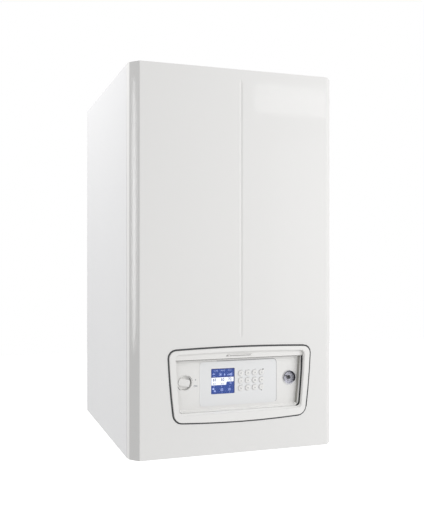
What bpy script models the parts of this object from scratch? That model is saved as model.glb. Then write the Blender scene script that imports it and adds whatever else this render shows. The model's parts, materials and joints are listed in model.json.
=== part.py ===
"""Wall-hung gas condensing boiler, built as separate pieces, in metres.

+Z is up and the front faces -Y. The origin is at the middle of the footprint, level with
the lowest pipe ends. On the front, a place is given as (across, height above the casing's
lower edge) and a depth is measured back from the front cover's face.
"""

import math

import bmesh
import bpy
from mathutils import Matrix, Vector
from mathutils.geometry import tessellate_polygon

# Driving dimensions
CASE_WIDTH = 0.600
CASE_HEIGHT = 1.038
CASE_DEPTH = 0.600
BEZEL_PROUD = 0.005
PIPE_DROP = 0.040
SHEET = 0.0015
GAP = 0.0003
OVERRUN = 0.010
MERGE = 0.000001
ROLL = math.radians(3)
SHARP_ANGLE = math.radians(32)
BLADE_SHARES = (-0.34, -0.12, 0.12, 0.34)

HALF_WIDTH = CASE_WIDTH / 2
BACK = (CASE_DEPTH + BEZEL_PROUD) / 2
FRONT = BACK - CASE_DEPTH
BASE = PIPE_DROP
TOP = BASE + CASE_HEIGHT

# Row of screen and keys on the module, with a dial on each side of it
DISPLAY_INSET = 0.068
DISPLAY_RISE = 0.006
KEY_COLUMNS = 4
KEY_ROWS = 3
KEY_START = 0.0522
KEY_PITCH = 0.0208
KEY_ROW_PITCH = 0.0204
KEY_END = 0.0454
MODULE_WIDTH = DISPLAY_INSET + KEY_START + (KEY_COLUMNS - 1) * KEY_PITCH + KEY_END
DISPLAY_X = DISPLAY_INSET - MODULE_WIDTH / 2
KEY_FIRST_X = DISPLAY_X + KEY_START
DIAL_ASIDE = 0.041
DIAL_ROOM = 0.0288
DIAL_X = MODULE_WIDTH / 2 + DIAL_ASIDE

# Control opening: outer outline of the gasket, a bowed trapezoid with round corners
PANEL_X = 0.0115
RECESS_STEP = 0.0062
BEZEL_SIDE = 0.0215
OPENING_TAPER = 0.017
OPENING_TOP_HALF = DIAL_X + DIAL_ROOM + RECESS_STEP + BEZEL_SIDE
OPENING_LOW_HALF = OPENING_TOP_HALF - OPENING_TAPER
OPENING_LOW = 0.0885
OPENING_HIGH = 0.2850
OPENING_RADIUS = 0.023
OPENING_CROWN = 0.0045
OPENING_BELLY = 0.0065
OPENING_SIDE_BOW = 0.0025
GASKET_WIDTH = 0.0035
GASKET_PROUD = 0.0008
GASKET_DEPTH = 0.0035
BEZEL_CLEARANCE = 0.0004

# Front cover: a tray with chamfered upright edges, slightly splayed sides and a rear lip
COVER_DEPTH = 0.038
CHAMFER = 0.022
SIDE_SPLAY = 0.003
LIP_WIDTH = 0.015
GROOVE_ABOVE = 0.023
GROOVE_HEAD = 0.026
GROOVE_LOW = OPENING_HIGH + GROOVE_ABOVE
GROOVE_HIGH = CASE_HEIGHT - GROOVE_HEAD
GROOVE_HALF = 0.005
GROOVE_DEPTH = 0.0022
GROOVE_TAPER = 0.012

# Studs on the cover's rear lip, which push into the side panels
STUD_RADIUS = 0.0037
STUD_CLEARANCE = 0.0005
STUD_HOLE = STUD_RADIUS + STUD_CLEARANCE
STUD_REACH = 0.016
STUD_INSET = 0.0075
STUD_MARGIN = 0.060

# Side panels, with a front flange and its return
FLANGE = 0.030
RETURN_LIP = 0.012

# Top and bottom panels
TRAY_FLANGE = 0.018

# Back frame, which stands off the wall on its side lips
WALL_RECESS = 0.022
WALL_LIP = 0.030

# Wall bracket and the slots that hang on it
BRACKET_MARGIN = 0.080
BRACKET_DROP = 0.090
BRACKET_HEIGHT = 0.048
BRACKET_SHEET = 0.002
BRACKET_HALF = HALF_WIDTH - BRACKET_MARGIN
BRACKET_HIGH = CASE_HEIGHT - BRACKET_DROP
BRACKET_LOW = BRACKET_HIGH - BRACKET_HEIGHT
HOOK_INSET = 0.070
HOOK_HALF = 0.025
HOOK_X = BRACKET_HALF - HOOK_INSET
HOOK_RISE = 0.007
HOOK_AHEAD = 0.003
SLOT_ROOM = 0.005
SLOT_HALF = HOOK_HALF + SLOT_ROOM
SLOT_HEIGHT = 0.013
BOLT_HOLE = 0.005
BOLT_MARGIN = 0.020
BOLT_HOLE_X = BRACKET_HALF - BOLT_MARGIN

# Bezel and its window
BEZEL_REAR = 0.0045
BEZEL_ROUND = 0.002
BEZEL_LOW_SIDE = 0.0160
BEZEL_HEAD = 0.015
BEZEL_SILL = 0.0260
WINDOW_TOP_HALF = OPENING_TOP_HALF - BEZEL_SIDE
WINDOW_LOW_HALF = OPENING_LOW_HALF - BEZEL_LOW_SIDE
WINDOW_HIGH = OPENING_HIGH - BEZEL_HEAD
WINDOW_LOW = OPENING_LOW + BEZEL_SILL
WINDOW_RADIUS = 0.010
WINDOW_CROWN = 0.0035
WINDOW_SIDE_BOW = 0.001
WINDOW_ROUND = 0.0015
WINDOW_SLOPE = 0.005
WINDOW_BELLY = 0.002

# Sliding door
DOOR_CLEARANCE = 0.001
DOOR_LAP = 0.0065
DOOR_SHOWN = 0.0165
DOOR_SPARE = 0.008
DOOR_THICKNESS = 0.003
DOOR_DEPTH = BEZEL_REAR + DOOR_CLEARANCE
DOOR_HALF = WINDOW_TOP_HALF + DOOR_LAP
DOOR_LOW = WINDOW_HIGH - DOOR_SHOWN
DOOR_HEIGHT = WINDOW_HIGH - WINDOW_LOW + DOOR_SPARE
PULL_HALF = 0.036
PULL_RISE = 0.0075
PULL_LOW = DOOR_LOW + PULL_RISE
PULL_HEIGHT = 0.005
PULL_PROUD = 0.0035
PULL_RADIUS = 0.002

# Fascia: rim plane behind the door, recess, door guides
FASCIA_WALL = 0.002
RIM_CLEARANCE = 0.0005
RECESS_DEPTH = 0.011
RIM_DEPTH = DOOR_DEPTH + DOOR_THICKNESS + RIM_CLEARANCE
FLOOR_DEPTH = RIM_DEPTH + RECESS_DEPTH
FASCIA_LAP = 0.0015
FASCIA_FOOT = 0.0035
FASCIA_HEAD = 0.0145
FASCIA_HALF = OPENING_TOP_HALF + FASCIA_LAP
FASCIA_LOW = OPENING_LOW + FASCIA_FOOT
FASCIA_HIGH = DOOR_LOW + DOOR_HEIGHT + FASCIA_HEAD
RECESS_HEAD = 0.008
RECESS_SILL = 0.001
RECESS_HIGH = WINDOW_HIGH - RECESS_HEAD
RECESS_LOW = WINDOW_LOW + RECESS_SILL
RECESS_RADIUS = 0.008
RECESS_BELLY = 0.001
RECESS_DRAFT = 0.0012
RECESS_FOOT = 0.0025
GUIDE_CLEARANCE = 0.0005
GUIDE_WIDTH = 0.010
GUIDE_FOOT = 0.008
GUIDE_ABOVE = 0.009
GUIDE_INNER = DOOR_HALF + GUIDE_CLEARANCE
GUIDE_LOW = WINDOW_LOW - GUIDE_FOOT
GUIDE_SPLIT = OPENING_HIGH + GUIDE_ABOVE
GUIDE_LIP = 0.0065
GUIDE_LIP_DEPTH = 0.0030
GUIDE_ROOT = 0.001
GUIDE_END = 0.0005

# Controller module
MODULE_HEIGHT = 0.120
MODULE_DROP = 0.076
MODULE_MIDDLE = RECESS_HIGH - MODULE_DROP
MODULE_RADIUS = 0.010
MODULE_PROUD = 0.0014
MODULE_FLANGE = 0.004
MODULE_WALL = 0.002
MODULE_BODY = 0.028
MODULE_REAR = FLOOR_DEPTH + MODULE_BODY
DISPLAY_Z = MODULE_MIDDLE + DISPLAY_RISE
DISPLAY_WIDTH = 0.069
DISPLAY_HEIGHT = 0.069
DISPLAY_RADIUS = 0.002
LENS_SUNK = 0.0002
SCREEN_MARGIN = 0.002
BOARD_BEHIND = 0.010
BOARD_DEPTH = FLOOR_DEPTH + BOARD_BEHIND
BOARD_THICKNESS = 0.0016

# Keys
KEY_RISE = 0.0250
KEY_TOP_Z = MODULE_MIDDLE + KEY_RISE
KEY_RADIUS = 0.0077
KEY_CLEARANCE = 0.0004
KEY_SHOULDER = 0.0010
KEY_HOLE = KEY_RADIUS + KEY_CLEARANCE
KEY_FLANGE = KEY_HOLE + KEY_SHOULDER
KEY_ROUND = 0.0010
KEY_CROWN = 0.0006
KEY_PROUD = 0.0028
KEY_FLANGE_THICKNESS = 0.0012
KEY_TRAVEL = 0.0012
CONTACT_RADIUS = 0.003

# Rotary switch
DIAL_Z = DISPLAY_Z
KNOB_RADIUS = 0.0192
KNOB_CLEARANCE = 0.0011
WELL_RADIUS = KNOB_RADIUS + KNOB_CLEARANCE
WELL_WALL = 0.0010
WELL_DEPTH = 0.0145
WELL_LEDGE = 0.003
WELL_FLANGE = WELL_RADIUS + WELL_WALL + WELL_LEDGE
WELL_FLANGE_THICKNESS = 0.002
SWITCH_REAR_RADIUS = 0.015
SWITCH_BODY = 0.032
SWITCH_REAR = FLOOR_DEPTH + SWITCH_BODY
KNOB_SUNK = 0.0100
KNOB_THICKNESS = 0.0040
GRIP_MARGIN = 0.0030
GRIP_HALF = KNOB_RADIUS - GRIP_MARGIN
GRIP_HEIGHT = 0.0190
GRIP_RADIUS = 0.0050
GRIP_RISE = 0.0060
GRIP_TILT = math.radians(-14)
SPINDLE_RADIUS = 0.0030
SPINDLE_BORE = SPINDLE_RADIUS + GAP
SPINDLE_REACH = 0.012

# Pressure gauge
GAUGE_RADIUS = 0.0205
GAUGE_LEDGE = 0.0018
GAUGE_WALL = 0.0012
GAUGE_NECK = GAUGE_RADIUS - GAUGE_LEDGE
GAUGE_BORE = GAUGE_NECK - GAUGE_WALL
GAUGE_PROUD = 0.0020
GAUGE_BODY = 0.026
GAUGE_REAR = FLOOR_DEPTH + GAUGE_BODY
DIAL_SUNK = 0.0055
DIAL_DEPTH = FLOOR_DEPTH + DIAL_SUNK
NEEDLE_RISE = 0.0023
NEEDLE_DEPTH = DIAL_DEPTH - NEEDLE_RISE
NEEDLE_THICKNESS = 0.0008
NEEDLE_SHORT = 0.0055
NEEDLE_REACH = GAUGE_BORE - NEEDLE_SHORT
NEEDLE_TAIL = 0.005
NEEDLE_HALF = 0.0011
NEEDLE_TIP_HALF = 0.0004
NEEDLE_HUB = 0.0030
NEEDLE_ANGLE = math.radians(150)
PIN_RADIUS = 0.0010
PIN_BORE = PIN_RADIUS + GAP
PIN_REACH = 0.005
LENS_RADIUS = GAUGE_BORE - GAP
LENS_PROUD = 0.0012
LENS_DEPTH = FLOOR_DEPTH - LENS_PROUD
LENS_THICKNESS = 0.0015

# Electronics box, with ears on the side panels' flanges
BOX_INSET = 0.013
BOX_FOOT = 0.0035
BOX_HEAD = 0.0045
BOX_HALF = FASCIA_HALF - BOX_INSET
BOX_LOW = FASCIA_LOW + BOX_FOOT
BOX_HIGH = OPENING_HIGH + BOX_HEAD
BOX_REAR = 0.100
BOX_WALL = 0.002
EAR_MARGIN = 0.031
EAR_LOW = BOX_LOW + EAR_MARGIN
EAR_HIGH = BOX_HIGH - EAR_MARGIN
EAR_CLEARANCE = 0.0015
SCREW_INSET = 0.0238
SCREW_X = HALF_WIDTH - SCREW_INSET
SCREW_Z = (EAR_LOW + EAR_HIGH) / 2

# Screws
SCREW_HEAD = 0.0038
SCREW_HEAD_HEIGHT = 0.0024
SCREW_SHANK = 0.0016
SCREW_CLEARANCE = 0.0004
SCREW_HOLE = SCREW_SHANK + SCREW_CLEARANCE
SCREW_REACH = 0.009

# Heat exchanger, lying along Y between the works in front and the back frame
SIDE_ROOM = 0.150
WORKS_DEPTH = 0.2275
REAR_ROOM = 0.0475
CORE_RADIUS = HALF_WIDTH - SIDE_ROOM
CORE_WALL = 0.003
CORE_FRONT = FRONT + WORKS_DEPTH
CORE_REAR = BACK - REAR_ROOM
CORE_LEDGE = 0.016
CORE_FLANGE = CORE_RADIUS + CORE_LEDGE
CORE_FLANGE_THICKNESS = 0.006
LUG_HALF = 0.016
LUG_INSET = 0.065
LUG_PLACE = CORE_RADIUS - LUG_INSET
DUCT_ROOM = 0.1525
DUCT_Y = BACK - DUCT_ROOM
WATER_ROOM = 0.2425
WATER_Y = BACK - WATER_ROOM
WATER_STUB = 0.0165
STUB_WALL = 0.004
WATER_STUB_BORE = WATER_STUB - STUB_WALL
WATER_STUB_RISE = 0.018
WATER_STUB_REACH = CORE_RADIUS + WATER_STUB_RISE
DRAIN_STUB = 0.0125
DRAIN_WALL = 0.003
DRAIN_BORE = DRAIN_STUB - DRAIN_WALL
DRAIN_RISE = 0.022
DRAIN_REACH = CORE_RADIUS + DRAIN_RISE
VENT_BOSS = 0.012
VENT_RISE = 0.010
VENT_BOSS_RISE = CORE_RADIUS + VENT_RISE
VENT_SET = 0.030
VENT_Y = CORE_FRONT + VENT_SET

# Coil in the exchanger
COIL_TUBE = 0.012
COIL_SLACK = 0.0015
COIL_PITCH = 0.033
COIL_SET = 0.035
COIL_START = CORE_FRONT + COIL_SET
COIL_TURNS = int((CORE_REAR - CORE_WALL - COIL_TUBE - COIL_START) / COIL_PITCH)
COIL_RADIUS = CORE_RADIUS - CORE_WALL - COIL_SLACK - COIL_TUBE

# Door of the exchanger, its clamp ring, and what it carries
DOOR_PLATE = 0.014
DOOR_BOLTS = 6
BOLT_OUTSET = 0.007
BOLT_CIRCLE = CORE_RADIUS + BOLT_OUTSET
BOLT_SHANK = 0.0030
BOLT_ROOM = 0.0006
BOLT_CLEARANCE_HOLE = BOLT_SHANK + BOLT_ROOM
BOLT_HEAD = 0.0058
BOLT_HEAD_HEIGHT = 0.005
RING_INSET = 0.002
RING_INNER = CORE_RADIUS - RING_INSET
RING_THICKNESS = 0.003
MIX_BORE = 0.026
BURNER_RADIUS = 0.035
BURNER_WALL = 0.0015
BURNER_SHORT = 0.135
BURNER_LENGTH = CORE_REAR - CORE_FRONT - BURNER_SHORT
BURNER_LEDGE = 0.011
BURNER_FLANGE = BURNER_RADIUS + BURNER_LEDGE
BURNER_FLANGE_THICKNESS = 0.002
ELECTRODE_SPREAD = 0.014
ELECTRODE_RISE = (BURNER_FLANGE + COIL_RADIUS - COIL_TUBE) / 2
CERAMIC_RADIUS = 0.0045
CERAMIC_ROOM = 0.0005
CERAMIC_HOLE = CERAMIC_RADIUS + CERAMIC_ROOM
CERAMIC_COLLAR = 0.0065
CERAMIC_AHEAD = 0.022
CERAMIC_BEHIND = 0.030
WIRE_RADIUS = 0.0012
WIRE_BEHIND = 0.075
COLLAR_THICKNESS = 0.003

# Elbow from the fan to the burner
ELBOW_WALL = 0.003
ELBOW_RADIUS = MIX_BORE + ELBOW_WALL
ELBOW_BEND = 0.046
ELBOW_FLANGE = 0.042
ELBOW_FLANGE_THICKNESS = 0.004

# Premix fan
FAN_X = 0.062
FAN_RADIUS = 0.088
FAN_GROWTH = 0.016
FAN_DEPTH = 0.062
FAN_WALL = 0.003
FAN_INLET = 0.036
FAN_OUTLET_RISE = 0.130
OUTLET_HALF = 0.033
WHEEL_RADIUS = 0.072
WHEEL_ROOT = 0.046
WHEEL_BLADES = 12
WHEEL_DISC = 0.002
WHEEL_WIDTH = 0.040
WHEEL_CLEARANCE = 0.006
SHAFT_RADIUS = 0.0040
SHAFT_ROOM = 0.0005
SHAFT_BORE = SHAFT_RADIUS + SHAFT_ROOM
SHAFT_REACH = 0.020
FAN_MOTOR_RADIUS = 0.046
FAN_MOTOR_LENGTH = 0.055
MOTOR_SHOULDER = 0.010
MOTOR_CAP_LENGTH = 0.010
MOTOR_FLANGE_THICKNESS = 0.004
FAN_MOTOR_FLANGE = FAN_MOTOR_RADIUS + MOTOR_FLANGE_THICKNESS

# Gas valve behind the fan's inlet, and its pipe
VALVE_WIDTH = 0.084
VALVE_HEIGHT = 0.096
VALVE_LENGTH = 0.070
VALVE_RADIUS = 0.006
VALVE_THROAT = 0.034
VALVE_THROAT_LENGTH = 0.008
VALVE_BORE = 0.024
COIL_BLOCK = 0.034
COIL_BLOCK_RISE = 0.030
GAS_RADIUS = 0.0134
GAS_WALL = 0.0024
GAS_BORE = GAS_RADIUS - GAS_WALL
GAS_BOSS = 0.017
GAS_BOSS_DROP = 0.012
GAS_X = 0.020

# Heights of fan and exchanger: the motor clears the electronics box, the exchanger the valve
FAN_SPACE = 0.021
FAN_TO_CORE = VALVE_HEIGHT / 2 + COIL_BLOCK_RISE + FAN_SPACE + CORE_FLANGE
FREE_HEIGHT = CASE_HEIGHT - BOX_HIGH - FAN_MOTOR_FLANGE - FAN_TO_CORE
FREE_BELOW_SHARE = 0.2
FAN_Z = BASE + BOX_HIGH + FAN_MOTOR_FLANGE + FREE_BELOW_SHARE * FREE_HEIGHT
FAN_TOP = FAN_Z + FAN_OUTLET_RISE
CORE_Z = FAN_Z + FAN_TO_CORE

# Water pipes and pump
PIPE_RADIUS = 0.0175
PIPE_WALL = 0.0025
PIPE_BORE = PIPE_RADIUS - PIPE_WALL
PIPE_BEND = 0.034
FLOW_INSET = 0.085
FLOW_X = FLOW_INSET - HALF_WIDTH
PUMP_INSET = 0.095
PUMP_X = HALF_WIDTH - PUMP_INSET
PUMP_RISE = 0.195
PUMP_Z = BASE + PUMP_RISE
VOLUTE_RADIUS = 0.056
VOLUTE_HALF = 0.030
VOLUTE_FRONT = WATER_Y - VOLUTE_HALF
VOLUTE_REAR = WATER_Y + VOLUTE_HALF
ROTOR_CAVITY = 0.043
ROTOR_CAVITY_DEPTH = 0.036
ROTOR_RADIUS = 0.039
ROTOR_ROOT = 0.024
ROTOR_BLADES = 6
ROTOR_DISC = 0.003
ROTOR_WIDTH = 0.022
ROTOR_CLEARANCE = 0.004
PUMP_OUTLET_RISE = 0.090
PUMP_TOP = PUMP_Z + PUMP_OUTLET_RISE
PUMP_MOTOR_RADIUS = 0.047
PUMP_MOTOR_LENGTH = 0.085

# Condensate trap
TRAP_WALL = 0.0025
TRAP_FIT = 0.0005
TRAP_NECK_BORE = DRAIN_STUB + TRAP_FIT
TRAP_NECK = TRAP_NECK_BORE + TRAP_WALL
TRAP_CUP = 0.038
TRAP_RISE = 0.160
TRAP_CUP_HEIGHT = 0.170
TRAP_CUP_LOW = BASE + TRAP_RISE
TRAP_CUP_HIGH = TRAP_CUP_LOW + TRAP_CUP_HEIGHT
TRAP_SHOULDER = 0.018
TRAP_OUTLET = 0.0125
TRAP_OUTLET_BORE = TRAP_OUTLET - TRAP_WALL
TRAP_OVERLAP = 0.010

# Air vent and safety valve
VENT_STEM = 0.009
VENT_BODY = 0.018
VENT_CAP = 0.007
VENT_STEM_RISE = 0.010
VENT_BODY_RISE = 0.040
VENT_CAP_RISE = 0.048
RELIEF_RISE = 0.260
RELIEF_Z = BASE + RELIEF_RISE
RELIEF_BOSS = 0.013
RELIEF_BOSS_REACH = 0.024
RELIEF_BODY = 0.017
RELIEF_LENGTH = 0.046
RELIEF_OUTLET = 0.009
RELIEF_OUTLET_DROP = 0.034
RELIEF_CAP = 0.018
RELIEF_CAP_GROOVE = 0.002
RELIEF_CAP_LENGTH = 0.022
RELIEF_CAP_GRIPS = 10

# Flue and air connections on the top panel
COLLAR_RISE = 0.050
FLUE_BORE = 0.0508
FLUE_WALL = 0.0067
FLUE_OUTER = FLUE_BORE + FLUE_WALL
SEAL_SEAT = 0.0032
SEAL_SQUEEZE = 0.0005
SEAL_GROOVE = FLUE_BORE + SEAL_SEAT
SEAL_LOW = 0.025
SEAL_HEIGHT = 0.007
SEAL_INNER = FLUE_BORE - SEAL_SQUEEZE
COLLAR_LEDGE = 0.0175
COLLAR_FLANGE = FLUE_OUTER + COLLAR_LEDGE
COLLAR_FLANGE_THICKNESS = 0.003
SPIGOT_STEP = 0.0012
SPIGOT_WALL = 0.003
SPIGOT_OUTER = FLUE_BORE + SPIGOT_STEP
SPIGOT_INNER = SPIGOT_OUTER - SPIGOT_WALL
SPIGOT_DROP = 0.028
DUCT_FIT = 0.0005
DUCT_WALL = 0.0025
DUCT_LAP = 0.010
DUCT_INNER = SPIGOT_OUTER + DUCT_FIT
DUCT_OUTER = DUCT_INNER + DUCT_WALL
FLUE_STUB_FIT = 0.001
FLUE_STUB_WALL = 0.003
FLUE_STUB_ABOVE = 0.020
FLUE_STUB = DUCT_INNER - FLUE_STUB_FIT
FLUE_STUB_RISE = CORE_RADIUS + FLUE_STUB_ABOVE
AIR_BORE = 0.0508
AIR_WALL = 0.0037
AIR_OUTER = AIR_BORE + AIR_WALL
AIR_LEDGE = 0.0135
AIR_FLANGE = AIR_OUTER + AIR_LEDGE
AIR_SHARE = 0.25
AIR_X = COLLAR_FLANGE + AIR_FLANGE + AIR_SHARE * (HALF_WIDTH - COLLAR_FLANGE - 2 * AIR_FLANGE)
AIR_DROP = 0.012
PANEL_CLEARANCE = 0.0005

PAINT = ("white_paint", (0.83, 0.83, 0.82), 0.35, 0.0)
PLASTIC = ("white_plastic", (0.82, 0.81, 0.79), 0.45, 0.0)
MODULE_PLASTIC = ("light_grey_plastic", (0.74, 0.75, 0.76), 0.45, 0.0)
DARK_RUBBER = ("dark_rubber", (0.06, 0.06, 0.06), 0.8, 0.0)
ZINC = ("zinc_sheet", (0.55, 0.56, 0.57), 0.4, 0.9)
STEEL = ("stainless_steel", (0.60, 0.60, 0.60), 0.3, 1.0)
CASTING = ("cast_aluminium", (0.58, 0.58, 0.58), 0.5, 0.9)
BRASS = ("brass", (0.70, 0.52, 0.25), 0.35, 1.0)
COPPER = ("copper", (0.72, 0.42, 0.28), 0.35, 1.0)
BLACK_PLASTIC = ("black_plastic", (0.04, 0.04, 0.045), 0.5, 0.0)
RED_PLASTIC = ("red_plastic", (0.55, 0.04, 0.03), 0.45, 0.0)
GREY_PLASTIC = ("grey_plastic", (0.35, 0.36, 0.37), 0.5, 0.0)
SCREEN = ("blue_screen", (0.06, 0.10, 0.45), 0.2, 0.0)
CLEAR = ("clear_plastic", (0.90, 0.92, 0.93), 0.05, 0.0)
CIRCUIT = ("circuit_green", (0.03, 0.22, 0.09), 0.5, 0.0)
CERAMIC = ("ceramic", (0.86, 0.84, 0.78), 0.4, 0.0)
CAST_IRON = ("painted_iron", (0.12, 0.13, 0.14), 0.55, 0.3)


def material_of(finish):
    """One Principled material for each finish."""
    name, colour, roughness, metallic = finish
    found = bpy.data.materials.get(name)
    if found:
        return found
    made = bpy.data.materials.new(name)
    made.use_nodes = True
    shader = made.node_tree.nodes["Principled BSDF"]
    shader.inputs["Base Color"].default_value = (*colour, 1.0)
    shader.inputs["Roughness"].default_value = roughness
    shader.inputs["Metallic"].default_value = metallic
    made.diffuse_color = (*colour, 1.0)
    return made


def on_front(u, v, w):
    """Across, up from the casing's lower edge, back from the cover's face."""
    return Vector((u, FRONT + w, BASE + v))


def on_panel(u, v, w):
    """Like on_front, with across counted from the control panel's middle."""
    return on_front(PANEL_X + u, v, w)


def at_dial(x):
    """Like on_panel, round an axis on the panel at height DIAL_Z."""
    return lambda u, v, w: on_panel(x + u, DIAL_Z + v, w)


def along_y(x, z):
    return lambda u, v, w: Vector((x + u, w, z + v))


def along_x(y, z):
    return lambda u, v, w: Vector((w, y + u, z + v))


def along_z(x, y):
    return lambda u, v, w: Vector((x + u, y + v, w))


def rolled(place, angle=ROLL):
    """The same place, turned a little about its axis, so that edges don't line up."""
    cos, sin = math.cos(angle), math.sin(angle)
    return lambda u, v, w: place(u * cos - v * sin, u * sin + v * cos, w)


def circle(radius, sides, centre=(0.0, 0.0)):
    turn = 2 * math.pi / sides
    cu, cv = centre
    return [
        (cu + radius * math.cos(turn * i), cv + radius * math.sin(turn * i))
        for i in range(sides)
    ]


def rounded(width, height, radius, steps=3, centre=(0.0, 0.0), across=1, up=1):
    """A rectangle with round corners, whose straight sides can be divided."""
    cu, cv = centre
    half_u, half_v = width / 2 - radius, height / 2 - radius
    loop = []
    for corner, (su, sv) in enumerate(((1, 1), (-1, 1), (-1, -1), (1, -1))):
        for i in range(steps + 1):
            angle = (corner + i / steps) * math.pi / 2
            loop.append((
                cu + su * half_u + radius * math.cos(angle),
                cv + sv * half_v + radius * math.sin(angle),
            ))
        nu, nv = ((-1, 1), (-1, -1), (1, -1), (1, 1))[corner]
        parts = (across, up)[corner % 2]
        last_u, last_v = loop[-1]
        angle = (corner + 1) * math.pi / 2
        next_u = cu + nu * half_u + radius * math.cos(angle)
        next_v = cv + nv * half_v + radius * math.sin(angle)
        for i in range(1, parts):
            share = i / parts
            loop.append((last_u + (next_u - last_u) * share, last_v + (next_v - last_v) * share))
    return loop


def bowed(top_half, low_half, low, high, radius, crown, belly, side_bow):
    """A round-cornered trapezoid whose sides bulge: the shape of the control opening."""
    half = (top_half + low_half) / 2
    loop = []
    for u, v in rounded(2 * half, high - low, radius, steps=4, across=6, up=3):
        rise = v / (high - low) + 1 / 2
        wide = low_half + (top_half - low_half) * rise + 4 * side_bow * rise * (1 - rise)
        swell = 1 - (u / half) ** 2
        middle = (low + high) / 2
        loop.append((
            u / half * wide,
            middle + v + swell * (crown * rise - belly * (1 - rise)),
        ))
    return loop


def opening(inset):
    """The control opening's outline, drawn in by inset."""
    return bowed(
        OPENING_TOP_HALF - inset, OPENING_LOW_HALF - inset,
        OPENING_LOW + inset, OPENING_HIGH - inset, OPENING_RADIUS - inset,
        OPENING_CROWN, OPENING_BELLY, OPENING_SIDE_BOW,
    )


def window(outset, drop, belly):
    """The bezel's window, let out by outset and lowered at its sill by drop."""
    return bowed(
        WINDOW_TOP_HALF + outset, WINDOW_LOW_HALF + outset,
        WINDOW_LOW - drop, WINDOW_HIGH + outset, WINDOW_RADIUS + outset,
        WINDOW_CROWN, belly, WINDOW_SIDE_BOW,
    )


def recess(inset, foot):
    """The fascia's recess, drawn in by inset, with its sill raised by foot."""
    return bowed(
        WINDOW_TOP_HALF - RECESS_STEP - inset, WINDOW_LOW_HALF - RECESS_STEP - inset,
        RECESS_LOW + foot, RECESS_HIGH - inset, RECESS_RADIUS - inset,
        WINDOW_CROWN, RECESS_BELLY, WINDOW_SIDE_BOW,
    )


def blades(root, tip, count):
    """A wheel's outline: count narrow blades that stand out from a root circle."""
    turn = 2 * math.pi / count
    loop = []
    for i in range(count):
        for share, radius in zip(BLADE_SHARES, (root, tip, tip, root)):
            angle = (i + share) * turn
            loop.append((radius * math.cos(angle), radius * math.sin(angle)))
    return loop


class Shell:
    """Faces that share their corners, turned into one object at the end."""

    def __init__(self):
        self.points = []
        self.numbers = {}
        self.faces = []

    def corner(self, point):
        key = tuple(round(value / MERGE) for value in point)
        if key not in self.numbers:
            self.numbers[key] = len(self.points)
            self.points.append(Vector(point))
        return self.numbers[key]

    def face(self, *points):
        numbers = [self.corner(point) for point in points]
        kept = [n for i, n in enumerate(numbers) if n != numbers[i - 1]]
        if len(kept) > 2:
            self.faces.append(kept)

    def strip(self, near, far, closed=True):
        """Quads between two rows of points, or triangles where one row is a single point."""
        count = max(len(near), len(far))
        near = near * count if len(near) == 1 else near
        far = far * count if len(far) == 1 else far
        for i in range(count if closed else count - 1):
            j = (i + 1) % count
            self.face(near[i], near[j], far[j], far[i])

    def cap(self, *loops):
        """A flat face with holes: the first loop is its edge."""
        corners = [point for loop in loops for point in loop]
        for triangle in tessellate_polygon(loops):
            self.face(*(corners[i] for i in triangle))

    def turned(self, profile, sides, place):
        """A closed profile of (radius, along) turned about its axis."""
        rows = []
        for radius, along in profile:
            if radius == 0:
                rows.append([place(0.0, 0.0, along)])
            else:
                rows.append([place(u, v, along) for u, v in circle(radius, sides)])
        for i, row in enumerate(rows):
            before = rows[i - 1]
            if len(row) > 1 or len(before) > 1:
                self.strip(before, row)

    def stack(self, layers, place, holes=()):
        """Prisms in a row along one axis; each (outline, from, to) nests with the next."""
        def row(loop, w):
            return [place(u, v, w) for u, v in loop]

        first, last = layers[0], layers[-1]
        self.cap(row(first[0], first[1]), *(row(hole, first[1]) for hole in holes))
        self.cap(row(last[0], last[2]), *(row(hole, last[2]) for hole in holes))
        for loop, start, end in layers:
            self.strip(row(loop, start), row(loop, end))
        for before, after in zip(layers, layers[1:]):
            pair = sorted((before[0], after[0]), key=spread, reverse=True)
            self.cap(*(row(loop, before[2]) for loop in pair))
        for hole in holes:
            self.strip(row(hole, first[1]), row(hole, last[2]))

    def swept(self, path, radius, sides, bore=0.0):
        """A tube along a path, hollow where a bore is given."""
        rings = {radius: [], bore: []}
        forward = (path[1] - path[0]).normalized()
        side = forward.orthogonal().normalized()
        steps = [(b - a).normalized() for a, b in zip(path, path[1:])]
        for before, after, point in zip([steps[0], *steps], [*steps, steps[-1]], path):
            ahead = (before + after).normalized()
            turn = forward.rotation_difference(ahead)
            forward, side = ahead, turn @ side
            up = forward.cross(side)
            for size in rings:
                rings[size].append([point + side * u + up * v for u, v in circle(size, sides)])
        for size in (radius, bore) if bore else (radius,):
            for near, far in zip(rings[size], rings[size][1:]):
                self.strip(near, far)
        for end in (0, -1):
            if bore:
                self.strip(rings[radius][end], rings[bore][end])
            else:
                self.cap(rings[radius][end])

    def build(self, name, finish, origin=(0.0, 0.0, 0.0)):
        """The object, with its origin at the place given."""
        start = Vector(origin)
        mesh = bpy.data.meshes.new(name)
        mesh.from_pydata([point - start for point in self.points], [], self.faces)
        shape = bmesh.new()
        shape.from_mesh(mesh)
        bmesh.ops.recalc_face_normals(shape, faces=shape.faces)
        shape.to_mesh(mesh)
        shape.free()
        mesh.shade_smooth()
        mesh.set_sharp_from_angle(angle=SHARP_ANGLE)
        mesh.materials.append(material_of(finish))
        piece = bpy.data.objects.new(name, mesh)
        piece.location = start
        bpy.context.scene.collection.objects.link(piece)
        return piece


def spread(loop):
    return max(math.hypot(u, v) for u, v in loop)


def block(low, high):
    """A shell with one box, from its lowest to its highest corner."""
    shell = Shell()
    (x0, y0, z0), (x1, y1, z1) = low, high
    outline = [(x0, y0), (x1, y0), (x1, y1), (x0, y1)]
    shell.stack([(outline, z0, z1)], along_z(0.0, 0.0))
    return shell


def rod(radius, start, end, sides, place):
    """A shell with one solid cylinder."""
    shell = Shell()
    shell.turned([(0.0, start), (radius, start), (radius, end), (0.0, end)], sides, place)
    return shell


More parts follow.
